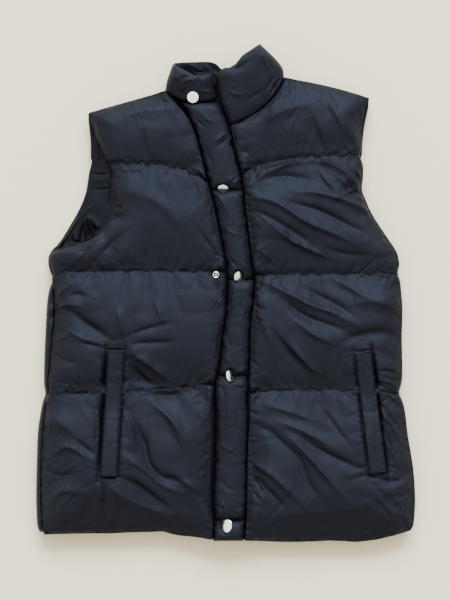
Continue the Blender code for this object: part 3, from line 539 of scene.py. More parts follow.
leftFront = {
    "name": "quiltedFrontLeft", "node": "front_left", "side": 1, "neck": neckLeft, "seed": 23,
    "lapTucks": 1.6,
    "grooves": [0, 1.3, 0.9, 0.6, 0],
    "rows": [
        (282, -350, -368, -10), (285, -310, -314, -4), (282, -262, -266, 0),
        (274, -212, -214, 0), (270, -178, -180, 0), (264, -150, -148, 4),
        (266, -118, -118, 2), (265, -70, -72, 0), (266, -25, -28, 0), (264, 4, 2, 0),
        (262, 29, 27, 0), (261, 48, 48, 0), (256, 64, 66, 0), (244, 82, 84, 0),
        (230, 103, 102, 0), (219, 121, 118, 2), (211, 139, 132, 3), (205, 155, 145, 3, 0.4),
        (207, 174, 158, 2, 0.8), (207, 191, 168, 0, 1), (205, 206, 178, -2, 1),
        (205, 220, 202, 0, 1), (205, 236, 225, 2, 0.5), (206, 250, 250, 2), (207, 261, 263, 0),
        (209, 270, 277, 0),
        (212, 279, 292, 1), (216, 287, 308, 2), (219, 292, 322, 3),
    ],
    "seams": [0, 5, 10, 20, 28],
    "loft": [33, 34, 34, 32],
    "pocket": ((205.5, -88), (227.5, -267)),
    "hem": [(30, -2), (157, -2), (180, -5), (195, -8), (225, -9), (262, -7), (282, -5)],
    "creases": [
        # top tier
        (-5, 9, 310, 116, 317, 134, 324, 154), (4, 8, 328, 102, 341, 127, 350, 147),
        (-4, 7, 342, 124, 348, 138, 354, 152), (-3, 7, 269, 106, 268, 125, 267, 149),
        (-3, 5, 359, 106, 360, 118, 364, 132), (3, 14, 262, 124, 285, 112, 312, 104),
        # second tier
        (6, 8, 248, 187, 270, 173, 294, 163, 312, 160, 334, 167, 354, 183, 363, 197),
        (-4.5, 9, 262, 180, 285, 176, 312, 180), (-4, 6, 334, 178, 346, 189, 358, 199),
        (6, 8, 242, 198, 267, 201, 283, 208, 305, 222, 334, 235, 354, 245),
        (-6.5, 9, 283, 202, 314, 209, 334, 218, 366, 234),
        (6, 8, 296, 193, 320, 195, 343, 202, 365, 213, 380, 228),
        (-5, 9, 246, 209, 268, 217, 290, 230, 314, 246), (4, 8, 270, 230, 300, 246, 330, 258),
        (-3, 8, 322, 246, 344, 254, 372, 256), (2, 5, 253, 245, 266, 256, 281, 271),
        (3.4, 3.5, 318, 171, 330, 188, 336, 200), (3.4, 3.5, 334, 200, 350, 192, 362, 189),
        (3, 3.5, 254, 212, 283, 235, 298, 244, 324, 257),
        # third tier
        (6, 8, 258, 279, 290, 296, 310, 306, 334, 314, 356, 327),
        (-7, 10, 276, 294, 303, 314, 325, 323, 350, 331), (-5, 8, 304, 288, 334, 303, 354, 316),
        (4, 8, 334, 280, 350, 289, 368, 300), (5, 9, 292, 318, 312, 334, 334, 344),
        (5.5, 7, 284, 340, 298, 354, 310, 367, 320, 374), (-5.5, 8, 272, 330, 288, 350, 302, 368),
        (4, 12, 254, 304, 264, 326, 276, 352), (-6, 14, 338, 344, 360, 334, 382, 332, 404, 338),
        (4, 12, 350, 304, 374, 302, 398, 310), (-3, 4, 250, 300, 256, 307, 264, 310),
        (-3, 4, 250, 312, 257, 319, 267, 322),
        # hem tier
        (-7, 12, 247, 421, 268, 429, 283, 442, 299, 458, 308, 482, 324, 502),
        (6, 7, 286, 433, 305, 453, 325, 475, 345, 499),
        (-6.5, 9, 295, 432, 316, 446, 343, 460, 368, 470), (5, 8, 280, 422, 305, 432, 328, 445),
        (6, 8, 246, 459, 265, 469, 283, 484, 305, 506), (-5, 8, 252, 474, 270, 490, 286, 508),
        (-3, 4, 316, 400, 334, 424, 352, 448), (4, 10, 262, 404, 290, 412, 312, 420),
        (-3, 4, 246, 448, 249, 458, 253, 467), (-3.5, 4, 246, 468, 254, 479, 263, 492),
        (-3.5, 4, 246, 484, 254, 492, 263, 502), (-3.5, 4, 244, 518, 248, 527, 253, 537),
        (2.5, 16, 262, 516, 334, 509, 365, 502, 405, 482, 416, 462),
        (-3.5, 6, 342, 480, 369, 474, 396, 480, 411, 462), (-3, 5, 385, 394, 394, 402, 404, 411),
        (-3, 4, 375, 372, 386, 370, 399, 375), (3, 4, 376, 380, 388, 382, 398, 389),
        (-3, 4, 378, 402, 388, 412, 397, 427), (3, 4, 381, 412, 390, 424, 398, 440),
        (-3, 4, 382, 426, 390, 442, 397, 460), (3, 4, 384, 440, 391, 452, 398, 466),
        # the pocket's mouth, and the sewn edges of its welt
        (-17, 3.4, 371.2, 345, 377, 390, 381.8, 430, 388, 480),
        (-4.5, 2.2, 352.4, 348, 358.3, 390, 362.6, 430, 368.8, 478),
        (-3, 2.2, 349, 351, 362, 350.6, 375, 349), (-4, 2.2, 364, 473.6, 377, 472.6, 390, 471),
        (3, 3.5, 351, 165, 358, 176, 364, 187), (-4, 3.5, 345, 180, 353, 190, 361, 197),
        (3, 3, 348, 189, 357, 198, 367, 207), (-3, 3, 353, 173, 359, 180, 363, 190),
    ],
}
padding = {
    "sideRoll": 34.0, "flapRoll": 17.0, "quiltRoll": 46.0, "overhang": 42.0, "ledge": 8.0,
    "pinch": 3.0, "pinchReach": 9.0,
    "quiltHeight": 13.0,  # a quilting line inside the front lies this much above its rim
    "quiltSpread": 30.0, "quiltSideFade": 30.0, "quiltLapFade": 12.0,
    "lapRise": 12.0, "lapReach": 13.0, "lapEnds": 20.0,  # the padding's end beside the flap
    "pocketFill": 0.72, "pocketReach": 26.0,
    "startShare": 0.8,  # share of the full height before the cloth swells
    "growth": 0.008, "frames": 18, "mostMovement": 17.0,
    "quickSwell": 0.3,
    "frontWidth": 262.0, "columnStep": 3.3, "rowStep": 3.1, "crowding": 0.25,
    "underlapColumns": 3, "underlapThick": 2.5,
    "pocketClear": 16.0,  # the quilting stops this far from the pocket
    # the needle's path strays this far, in waves of these lengths
    "seamWander": 0.8, "wanderLength": (12, 48), "wanderReach": 7.0,
    "pleatSpacing": (4.5, 14.0), "pleatDepth": (0.4, 1.9), "pleatWidth": (1.5, 2.8),
    "pleatReach": (4.0, 18.0), "edgeSpacing": (8.0, 28.0),
    "lapSpacing": (7.0, 17.0), "weltSpacing": (5.0, 12.0),
    "hemReach": 60.0,
    "welt": (13.0, 21.0),  # the cloth under a pocket welt is flat out to here
}


def pleats(seed, x, line, spacing):  # small tucks that a sewn line draws into the cloth
    dice = np.random.default_rng(seed)
    total, place = np.zeros(x.shape), x.min()
    while place < x.max():
        place += dice.uniform(*spacing)
        depth, width = dice.uniform(*padding["pleatDepth"]), dice.uniform(*padding["pleatWidth"])
        reach, slant = dice.uniform(*padding["pleatReach"]), dice.uniform(-0.6, 0.6)
        fold = bell(x - place - slant * line, width * (1 + 0.04 * line))
        total -= depth * fold * np.exp(-line / reach)
    return total


def frontGrid(front):
    side, neck = front["side"], front["neck"]
    columns = crowded(round(padding["frontWidth"] / padding["columnStep"]), padding["crowding"])
    keys = [(sideX, sideY, float(lapLine(neck, frontY, side)), frontY, bow, *late)
            for sideX, sideY, frontY, bow, *late in front["rows"]]
    points, below, above, tiers, seamRows = loft(bowedRows(keys, columns), front["seams"],
                                                 padding["rowStep"], padding["crowding"])
    points[:, -1, 0] = lapLine(neck, points[:, -1, 1], side)
    line = np.minimum(below, above)[:, None]
    fromSide = np.linalg.norm(points - points[:, :1], axis=-1)
    fromLap = np.linalg.norm(points - points[:, -1:], axis=-1)
    away, _, _ = distanceTo(*front["pocket"], points[..., 0], points[..., 1])
    # a tier hangs over the quilting line below it, and starts flat under the one above
    early, late = -padding["ledge"], padding["quiltRoll"]
    start = smoothStep(0.0, early, late)
    underLine = np.where(tiers[:, None] == len(front["seams"]) - 2,
                         sloped(above[:, None], padding["quiltRoll"]),
                         (smoothStep(above[:, None], early, late) - start) / (1 - start))
    quilted = np.minimum(sloped(below[:, None], padding["overhang"]), underLine)
    quilted = np.maximum(quilted, padding["pocketFill"] * bell(away, padding["pocketReach"]))
    fill = sloped(fromSide, padding["sideRoll"]) * rounded(fromLap, padding["flapRoll"]) * quilted
    inner = np.isin(np.arange(len(points)), seamRows[1:-1])[:, None]
    nearestSeam = tiers + (above <= below)
    nearInner = ((nearestSeam > 0) & (nearestSeam < len(front["seams"]) - 1))[:, None]
    raised = padding["quiltHeight"] * nearInner * rounded(fromSide, padding["quiltSideFade"])
    raised = raised * rounded(fromLap, padding["quiltLapFade"]) * bell(line, padding["quiltSpread"])
    endLine = np.where(nearInner, line, padding["lapEnds"])  # the neckline's rim stays high
    lapRim = bell(fromLap, padding["lapReach"]) * rounded(endLine, padding["lapEnds"])
    seam = form["rimHeight"] + raised + padding["lapRise"] * lapRim
    z = form["frontUnder"] + seam + (np.array(front["loft"], float)[tiers][:, None] - seam) * (
        fill * padding["startShare"])
    wander = padding["seamWander"] * waves(front["seed"], *padding["wanderLength"])(points[..., 0])
    points[..., 0] -= side * padding["pinch"] * bell(line, padding["pinchReach"]) * np.exp(
        -fromSide / padding["sideRoll"])
    points[..., 1] += wander * bell(line, padding["wanderReach"]) * ((line > 0) | inner)
    hemX, hemRise = np.array(front["hem"], float).T
    fromHem = np.where(tiers == 0, below, padding["hemReach"])[:, None]
    points[..., 1] += np.interp(points[..., 0], hemX, hemRise) * (
        1 - smoothStep(fromHem, 0.0, padding["hemReach"]))
    grid = atHeight(points, z)
    foot, edge = grid[:, -1:].copy(), grid[:, -1:].copy()
    foot[:, 0, 0] -= side * (form["lapFoot"] + form["gapeFoot"] * gapeAt(foot[:, 0, 1], side))
    edge[:, 0, 0] = frontEdge(neck, edge[:, 0, 1], side)
    foot[..., 2] = edge[..., 2] = form["frontUnder"] + padding["underlapThick"]
    parts = np.linspace(0, 1, padding["underlapColumns"])
    underlap = foot * (1 - parts[None, :, None]) + edge * parts[None, :, None]
    grid = np.concatenate([grid, underlap], axis=1)

    def spread(values):  # the same measures for the underlap, where nothing is padded
        full = np.broadcast_to(values, (len(grid), len(columns)))
        return np.concatenate([full, np.repeat(full[:, -1:], len(parts), axis=1)], axis=1)
    front.update(line=spread(line), fromSide=spread(fromSide), fromLap=spread(fromLap),
                 pocketAway=spread(away), seamRows=seamRows,
                 besideSeam=2 * tiers + (above <= below))
    front["fromLap"][:, len(columns):] = 0.0
    held = heldRim(grid)
    held[:, len(columns) - 1:] = True
    for row in seamRows[1:-1]:
        held[row] |= front["pocketAway"][row] > padding["pocketClear"]
    if side > 0:
        for key in ("line", "fromSide", "fromLap", "pocketAway"):
            front[key] = front[key][:, ::-1]
        grid, held = grid[:, ::-1], held[:, ::-1]
    return grid, held


def flapGrid():
    columns = crowded(flap["columns"], flap["crowding"][0])
    keys = [(left, y, right, y, 0) for y, left, right, _ in flap["rows"]]
    seams = [index for index, row in enumerate(flap["rows"]) if row[3]]
    points, below, above, _, seamRows = loft(bowedRows(keys, columns), seams, flap["step"],
                                             flap["crowding"][1])
    fromEdge = np.minimum(columns, 1 - columns) * widthOf(points)
    line = np.minimum(below, above)[:, None]
    along = rounded(line, flap["seamRoll"])
    fill = rounded(fromEdge, flap["sideRoll"]) * along
    ends = smoothStep(np.minimum(points[..., 1] - points[0, 0, 1],
                                 points[-1, 0, 1] - points[..., 1]), 0.0, flap["endRise"])
    rim = form["seamHeight"] + (flap["rim"] - form["seamHeight"]) * along
    rim = rim + (flap["seam"] - rim) * rounded(fromEdge, flap["sideRoll"]) * ends * (1 - along)
    z = form["flapUnder"] + rim + (flap["loft"] - rim) * fill * flap["startShare"]
    shifted = points[..., 1] + flap["rippleShift"] * np.round(columns)  # unlike on both edges
    ripple = waves(5, *flap["rippleLength"])(shifted)
    points[..., 0] += flap["ripple"] * ripple * bell(fromEdge, flap["rippleReach"])
    flap.update(line=np.broadcast_to(line, z.shape), fromEdge=fromEdge)
    held = heldRim(points)
    held[seamRows] = True
    return atHeight(points, z), held


# Stand collar: rows from the neckline up, (left x, left y, right x, right y, rise of the middle)

collarRight = {
    "name": "collarFrontRight", "node": "collar_right", "loft": 17.0, "roll": 16.0,
    "tilt": 17.0, "crumple": 0.4,
    "dip": (-42, 12),  # where the rows sag, and how widely
    "rows": [(-89.5, 301.5, -12, 292.5, -11, 0), (-87.5, 317, -14, 306, -9, 0),
             (-82.5, 332, -17, 318, -7, 1), (-78, 344, -20, 330, -6, 3)],
    "creases": [
        (-2, 3.5, 181, 80, 187, 78, 194, 79), (2, 4, 183, 84, 190, 81, 197, 82),
        (-2.5, 3.5, 199, 76, 198, 80, 200, 86), (2, 3, 172, 74, 178, 80, 181, 90),
        (-2, 3, 206, 78, 208, 86, 207, 94), (-1.8, 3, 186, 88, 184, 95, 186, 101),
        (1.8, 3, 199, 93, 205, 92, 211, 94),
    ],
}
collarLeft = {
    "name": "collarFrontLeft", "node": "collar_left", "loft": 19.0, "roll": 18.0, "dip": (12, 10),
    "tilt": 16.0, "crumple": 0.4,
    "rows": [(6, 250, 88.5, 323.2, -14, 0), (-4.5, 276, 87, 336, -8, 0),
             (-11.5, 300, 77, 350, -6, 0), (-13.5, 319, 65, 362, -2, 3), (-6, 335, 52, 374, 0, 7)],
    "creases": [
        (-3, 3, 281, 78, 275, 88, 270, 99), (-2.5, 3, 276, 74, 271, 84, 266, 92),
        (2.5, 3, 279, 84, 272, 95, 266, 104), (2, 4, 262, 50, 264, 62, 270, 72),
        (-2, 4, 268, 60, 272, 68, 275, 76), (-2, 6, 230, 76, 240, 68, 250, 62),
        (1.8, 4, 226, 92, 236, 96, 247, 95), (-1.8, 3, 248, 100, 255, 96, 262, 90),
    ],
}
collarForm = {
    "step": 2.4, "columns": 38, "crowding": 0.2, "neckRise": 10.0, "neckReach": 12.0,
    "neckRoll": 14.0, "topRoll": 9.0, "endRoll": 12.0,  # how the tilt rounds off at its free edges
}


def sagged(rows, columns, dip):  # bowed rows that also sag, by their last value, round one place
    points = bowedRows([row[:5] for row in rows], columns)
    depths = np.array([row[5] for row in rows], float)[:, None]
    points[..., 1] -= depths * np.exp(-(np.abs(points[..., 0] - dip[0]) / dip[1]) ** 3)
    return points


def collarGrid(collar):
    columns = crowded(collarForm["columns"], collarForm["crowding"])
    keyPoints = sagged(collar["rows"], columns, collar["dip"])
    if collar["node"] == "collar_left":  # its foot follows the left front's neckline
        keyPoints[0] = throughThree(neckLeft, columns[::-1]) + (-form["gap"], form["gap"])
    points, below, above, _, _ = loft(keyPoints, [0, len(keyPoints) - 1],
                                      collarForm["step"], collarForm["crowding"])
    fromEdge = np.minimum(columns, 1 - columns) * widthOf(points)
    line = np.minimum(below, above)[:, None]
    fill = rounded(fromEdge, collar["roll"]) * rounded(line, collar["roll"])
    neckRim = bell(below[:, None], collarForm["neckReach"])
    neckRim = collarForm["neckRise"] * neckRim * rounded(fromEdge, collarForm["neckRoll"])
    rim = form["seamHeight"] + neckRim
    z = form["frontUnder"] + rim + (collar["loft"] - rim) * fill * flap["startShare"]
    standing = below[:, None] / (below + above)[:, None]  # it stands up from the neckline
    free = rounded(above[:, None], collarForm["topRoll"]) * rounded(fromEdge, collarForm["endRoll"])
    z = z + collar["tilt"] * standing * free
    collar.update(line=np.broadcast_to(line, z.shape), fromEdge=fromEdge)
    return atHeight(points, z), heldRim(points)


# Snaps: each cap and the stud lie on cloth that follows their lean

snaps = {
    "height": 2.6, "studRadius": 5.4, "studHeight": 2.2,
    "bedFade": (-0.2, 3.2),  # the cloth follows a snap out to its rim
    "sink": 0.9, "sinkPlace": 1.0, "sinkReach": 1.3,  # and is pressed in round it
    # degrees that the dome turns down from its middle to its rim, in steps, and its share of it
    "domeTurn": 15, "domeSteps": 9, "domeShare": 0.97,
    "studShare": 0.88,  # the dressed stud's radius as a share of its solid's
    # how far the dressed snap lies beside the middle of its solid
    "moved": {"snap_cap_1": (0, -2.0), "snap_cap_2": (0, -1.8), "snap_cap_3": (1.8, -1.0),
              "snap_cap_4": (2.6, 0.4), "snap_cap_5": (-3.0, 0)},
    # cap number: lean to +X, +Y in degrees and radius
    "caps": {1: (0, 0, 8.5), 2: (-4, -36, 8.4), 3: (30, -14, 8.5), 4: (45, 4, 9.8),
             5: (-32, 7, 10.8)},
}


def snapCentre(node):
    low, high = (np.array(corner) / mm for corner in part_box(node))
    return 0.5 * (low + high) + np.array((*snaps["moved"].get(node, (0, 0)), 0))


def leanOf(leanX, leanY):
    return (Matrix.Rotation(math.radians(leanX), 4, "Y")
            @ Matrix.Rotation(math.radians(-leanY), 4, "X"))


# Swelling: every padded piece fills in one run of the cloth solver

solver = {
    "quality": 6, "mass": 0.15, "tension_stiffness": 15, "compression_stiffness": 15,
    "shear_stiffness": 5, "bending_stiffness": 0.05, "use_pressure": True,
    "uniform_pressure_force": 3.0, "vertex_group_mass": "sewn",
}


def swell(pieces, frames):
    scene = bpy.context.scene
    scene.frame_start, scene.frame_end = 1, frames
    for piece in pieces:
        stand = piece["stand"] = gridObject(piece["name"] + "Start", piece["start"])
        group = stand.vertex_groups.new(name=solver["vertex_group_mass"])
        group.add([int(index) for index in np.flatnonzero(piece["held"])], 1.0, "REPLACE")
        cloth = stand.modifiers.new("Cloth", "CLOTH")
        cloth.point_cache.frame_end = frames
        for name, value in solver.items():
            setattr(cloth.settings, name, value)
        cloth.settings.shrink_min = -piece["growth"]
        cloth.settings.effector_weights.gravity = 0
    for number in range(1, frames + 1):
        scene.frame_set(number)
    for piece in pieces:
        piece["swollen"] = readSwollen(piece)
        mesh = piece["stand"].data
        bpy.data.objects.remove(piece.pop("stand"))
        bpy.data.meshes.remove(mesh)


def readSwollen(piece):  # the solver's points as a grid, none moved too far or through the back
    evaluated = piece["stand"].evaluated_get(bpy.context.evaluated_depsgraph_get())
    flat = np.zeros(piece["start"].size)
    evaluated.data.vertices.foreach_get("co", flat)
    move = flat.reshape(piece["start"].shape) / mm - piece["start"]
    size = np.linalg.norm(move, axis=-1, keepdims=True)
    print(piece["name"], "moved", size.max().round(1), "mm at most")
    points = piece["start"] + move * np.minimum(1, padding["mostMovement"] / np.maximum(size, 1e-6))
    points[..., 2] = np.maximum(points[..., 2], piece["floor"])
    return points


paddedPieces = [rightFront, leftFront, flap, collarRight, collarLeft]
flap["name"], flap["node"] = "stormFlap", "placket"
for piece in (rightFront, leftFront):
    piece["start"], piece["held"] = frontGrid(piece)
    piece["growth"], piece["under"] = padding["growth"], form["frontUnder"]
flap["start"], flap["held"] = flapGrid()
flap["under"] = form["flapUnder"]
for piece in (collarRight, collarLeft):
    piece["start"], piece["held"] = collarGrid(piece)
    piece["growth"], piece["under"] = flap["growth"], form["frontUnder"]
for piece in paddedPieces:
    piece["floor"] = piece["under"] + form["floorGap"]
swell(paddedPieces, padding["frames"])
print("padded pieces swollen")


def bedFor(node, lean, thick, radius):  # the plane under a snap, where the cloth meets it
    facing = np.array(lean @ Vector((0, 0, 1)))
    centre = snapCentre(node) - facing * (0.5 * thick + form["gap"])
    return {"centre": centre, "facing": facing, "radius": radius}


def bedded(points, bed):  # cloth brought into line with the underside of a snap
    across, along = points[..., 0] - bed["centre"][0], points[..., 1] - bed["centre"][1]
    drop = (bed["facing"][0] * across + bed["facing"][1] * along) / bed["facing"][2]
    away = np.sqrt(across ** 2 + along ** 2 + drop ** 2) - bed["radius"]
    hold = 1 - smoothStep(away, *snaps["bedFade"])
    points[..., 2] += (bed["centre"][2] - drop - points[..., 2]) * hold
    points[..., 2] -= snaps["sink"] * bell(away - snaps["sinkPlace"], snaps["sinkReach"])


crumple = {
    "creaseGain": 1.06, "creaseFade": (0.5, 12.0), "fade": (0.5, 9.0),
    "broad": (1.2, 62), "folds": (1.7, 36), "fine": (0.6, 19),  # height and size in mm
    "slant": 0.35, "bend": (9, 45),  # the folds lean and wander
    "threadWidth": 1.1, "draw": (0.75, 0.4), "drawLength": (20, 60),  # how evenly thread draws in
    "edgeTucks": 0.5, "weltTucks": 1.1, "weltEdge": 12.5, "underNeck": (5, 20),
}


def worked(piece, edgeDistance, lineDistance, quilted):
    # the swollen top made finer, with its creases, the puckers along its seams and a soft crumple
    points = finer(piece["swollen"])
    edge, line = finer(edgeDistance), finer(lineDistance)
    x, y = points[..., 0], points[..., 1]
    seed = len(piece["name"]) + 3
    inside = smoothStep(np.minimum(edge, line), *crumple["fade"])
    rise = crumple["creaseGain"] * creaseHeight(piece["creases"], x, y)
    rise *= smoothStep(np.minimum(edge, line), *crumple["creaseFade"])
    calm = 1.0
    if quilted:
        calm = smoothStep(finer(piece["pocketAway"]), *padding["welt"])
        beside = np.repeat(piece["besideSeam"], 2)[:-1]
        for seam in np.unique(beside):
            rows = beside == seam
            tucks = pleats(10 * seed + seam, x[rows], line[rows], padding["pleatSpacing"])
            tucks *= smoothStep(line[rows], 0.0, 1.5)
            least, more = crumple["draw"]
            uneven = least + more * waves(seed + 9, *crumple["drawLength"])(x[rows])
            depth = np.maximum(piece["grooves"][(seam + 1) // 2] * uneven, 0)
            tucks -= depth * bell(line[rows], crumple["threadWidth"])
            rise[rows] += tucks * calm[rows] * smoothStep(edge[rows], 0, 6)
        lap = finer(piece["fromLap"])
        underNeck = smoothStep(piece["neck"][-1][1] - y, *crumple["underNeck"])
        rise += piece["lapTucks"] * pleats(seed + 300, y, lap, padding["lapSpacing"]) * (
            smoothStep(lap, 0.0, 2.0) * smoothStep(line, 0, 6) * underNeck)
        welt = np.maximum(finer(piece["pocketAway"]) - crumple["weltEdge"], 0)
        tucks = pleats(seed + 400, y, welt, padding["weltSpacing"])
        rise += crumple["weltTucks"] * tucks * smoothStep(welt, 0, 1.5)
    tucks = pleats(seed + 200, y, edge, padding["edgeSpacing"]) * smoothStep(edge, 0.0, 2.0)
    rise += piece.get("edgeTucks", crumple["edgeTucks"]) * tucks * smoothStep(line, 0, 6)
    (broad, broadSize), (bend, bendSize) = crumple["broad"], crumple["bend"]
    (folds, foldSize), (fine, fineSize) = crumple["folds"], crumple["fine"]
    bent = x + crumple["slant"] * y + bend * softNoise(seed + 8, x, y, bendSize)
    fields = folds * np.abs(softNoise(seed, bent, y, foldSize))
    fields += fine * np.abs(softNoise(seed + 1, x, y, fineSize))
    rise += piece.get("crumple", 1.0) * inside * (
        broad * softNoise(seed + 5, x, y, broadSize) + calm * fields)
    points = points + normalsOf(points) * rise[..., None]
    points[..., 2] = np.maximum(points[..., 2], piece["floor"])
    for bed in piece.get("beds", []):
        bedded(points, bed)
    return points


capBeds = [bedFor(f"snap_cap_{number}", leanOf(*lean), snaps["height"], radius)
           for number, (*lean, radius) in snaps["caps"].items()]
collarRight["beds"], flap["beds"] = capBeds[:1], capBeds[1:]
rightFront["beds"] = [bedFor("snap_stud_3", Matrix(), snaps["studHeight"], snaps["studRadius"])]
for piece in (rightFront, leftFront):
    edgeDistance = np.minimum(piece["fromSide"], piece["fromLap"])
    piece["top"] = worked(piece, edgeDistance, piece["line"], True)
for piece in (flap, collarRight, collarLeft):
    piece["top"] = worked(piece, piece["fromEdge"], piece["line"], False)
for piece in paddedPieces:
    piece["object"] = closedShell(piece["name"], piece["top"], piece["under"])
    dress(piece["object"], shellNylon, "shell", piece["node"])
    print(piece["name"], "made", piece["top"].shape)


# Back: flat on the surface, its rim rounded up, and the roll that shows beside the side seams

back = {
    "name": "quiltedBack", "edge": 13.0, "roll": 30.0, "quiltRise": 5.0, "quiltReach": 14.0,
    "rimFall": 5.0, "rimRoll": 12.0, "sideRollRise": 11.0,  # the roll beside the right front
    "rollColumns": 9, "rollEdge": 7.0, "rollWrinkle": 0.12, "rollPinch": (0.6, 5.0),
    "rollStart": [(0, 276), (0, 286)],  # pixels; the roll starts under the armhole
    "leastRoll": 2.0, "hemInset": 3.0, "hemReach": 60.0,
    # pixels; the back lies low where the neckline shows it
    "neckGap": [(172, 97), (190, 121)], "neckSink": 11.0, "neckReach": 9.0,
    "columns": 150, "step": 5.0, "crowding": (0.6, 0.5), "wrinkleLength": (12, 34),
    "wrinkleSlant": 0.3,
    # right x, y, left x, y, rise of the middle, quilting line
    "rows": [
        (-282, -360, 281, -349, -8, 1), (-284, -310, 284, -306, 0, 0),
        (-283, -255, 280, -255, 0, 0), (-281, -205, 272, -205, 0, 0),
        (-273, -152, 263, -150, 0, 1), (-272, -110, 265, -110, 0, 0),
        (-270, -60, 264, -60, 0, 0), (-267, -10, 265, -10, 0, 0), (-262, 20, 262, 24, 0, 1),
        (-266, 48, 260, 48, 0, 0), (-262, 62, 255, 64, 0, 0), (-249, 76, 243, 82, 0, 0),
        (-235, 98, 229, 102, 0, 0), (-220, 124, 218, 120, 0, 0), (-210, 148, 208, 145, 3, 0),
        (-206, 170, 205, 172, 6, 0), (-203, 195, 206, 198, 10, 1), (-202, 222, 207, 228, 18, 0),
        (-204, 248, 211, 258, 26, 0), (-207, 268, 219, 291, 32, 1),
    ],
}


def makeBack():
    columns = crowded(back["columns"], back["crowding"][0])
    keys = [row[:5] for row in back["rows"]]
    seams = [index for index, row in enumerate(back["rows"]) if row[5]]
    points, below, above, _, _ = loft(bowedRows(keys, columns), seams, back["step"],
                                      back["crowding"][1])
    line = np.minimum(below, above)[:, None]
    width = widthOf(points)
    climbed = travelledAlong(points[:, len(columns) // 2])
    fromEnd = np.minimum(climbed, climbed[-1] - climbed)[:, None]
    # the first columns follow the right front's side seam, so that the roll ends in a clean line
    seamX = np.interp(points[:, 0, 1], [row[1] for row in rightFront["rows"]],
                      [row[0] for row in rightFront["rows"]])
    share = np.maximum(seamX[:, None] - points[:, :1, 0], back["leastRoll"]) / width
    firstShare = columns[back["rollColumns"]]
    early = columns / firstShare * share
    later = share + (columns - firstShare) / (1 - firstShare) * (1 - share)
    parts = np.where(columns < firstShare, early, later)
    for row, part in enumerate(parts):
        points[row] = placesAt(part, columns, points[row])
    fromOutline = np.minimum(np.minimum(parts, 1 - parts) * width, fromEnd)
    pinch = padding["pinch"] * bell(line, padding["pinchReach"])
    points[..., 0] += pinch * (np.clip(1 - 4 * parts, 0, 1) - np.clip(4 * parts - 3, 0, 1))
    hems = np.concatenate([rightFront["start"][0], leftFront["start"][0]])
    hems = hems[np.argsort(hems[:, 0])]
    hidden = np.interp(points[0, :, 0], hems[:, 0], hems[:, 1]) + back["hemInset"]
    lift = np.maximum(hidden - points[0, :, 1], 0)[None, :]
    lift = lift * (1 - smoothStep(fromEnd, 0, back["hemReach"]))
    points[..., 1] += lift * (points[..., 1] < 0)
    slanted = points[..., 1] + back["wrinkleSlant"] * points[..., 0]
    wrinkles = waves(71, *back["wrinkleLength"])(slanted)
    fall = back["rimFall"] * (1 - rounded(fromOutline, back["rimRoll"]))
    top = form["backThick"] - fall
    under = (back["edge"] + back["quiltRise"] * bell(line, back["quiltReach"])) * (
        1 - rounded(fromOutline, back["roll"]))
    under = np.clip(np.minimum(under, back["edge"]), 0, None)
    low, high = fromPixels(back["rollStart"])[:, 1]
    pinch, pinchReach = back["rollPinch"]
    roll = back["sideRollRise"] * rounded(fromOutline, back["rollEdge"])
    roll = roll * (1 + back["rollWrinkle"] * wrinkles)
    roll = roll * smoothStep(-points[..., 1], -low, -high) * (1 - pinch * bell(line, pinchReach))
    top = np.where(columns < firstShare - 1e-6, top + roll, top)
    away, _, _ = distanceTo(*fromPixels(back["neckGap"]), points[..., 0], points[..., 1])
    top = top - back["neckSink"] * bell(away, back["neckReach"])
    piece = closedShell(back["name"], atHeight(points, top), atHeight(points, under))
    dress(piece, shellNylon, "shell", "back_panel")


makeBack()
print("back made")


# Back of the collar, which lies under the two fronts of the collar

collarBack = {
    "rows": [(-91, 0, 91, 0, 0, 0), (-87, 318, 86, 333, -2, 0), (-81, 334, 68, 346, -5, 8),
             (-75, 346, 50, 362, -7, 16)],
    "dip": (5, 15), "fall": 5.0, "roll": 22.0, "columns": 90, "step": 2.5,
    "crowding": (0.3, 0.4),
}


def makeCollarBack():
    columns = crowded(collarBack["columns"], collarBack["crowding"][0])
    keyPoints = sagged(collarBack["rows"], columns, collarBack["dip"])
    startX, startY, endX, endY, bow, _ = back["rows"][-1]
    part = (keyPoints[0, :, 0] - startX) / (endX - startX)
    keyPoints[0, :, 1] = startY * (1 - part) + endY * part + bow * 4 * part * (1 - part)
    keyPoints[0, :, 1] += form["gap"]
    points, below, above, _, _ = loft(keyPoints, [0, len(keyPoints) - 1], collarBack["step"],
                                      collarBack["crowding"][1])
    fromFold = np.minimum(columns, 1 - columns) * widthOf(points)
    fromTop, fromNeck = above[:, None], below[:, None]
    rim = np.minimum(fromFold, fromTop)
    top = form["backThick"] - collarBack["fall"] * (1 - rounded(rim, collarBack["roll"]))
    under = back["edge"] * (1 - rounded(np.minimum(rim, fromNeck), collarBack["roll"]))
    piece = closedShell("collarBack", atHeight(points, top), atHeight(points, under))
    dress(piece, liningNylonPaintedShade, "lining", "collar_back")


makeCollarBack()
print("collar back made")


# Lining that shows: the back's inside at the right armhole, and the collar's inside at the neck

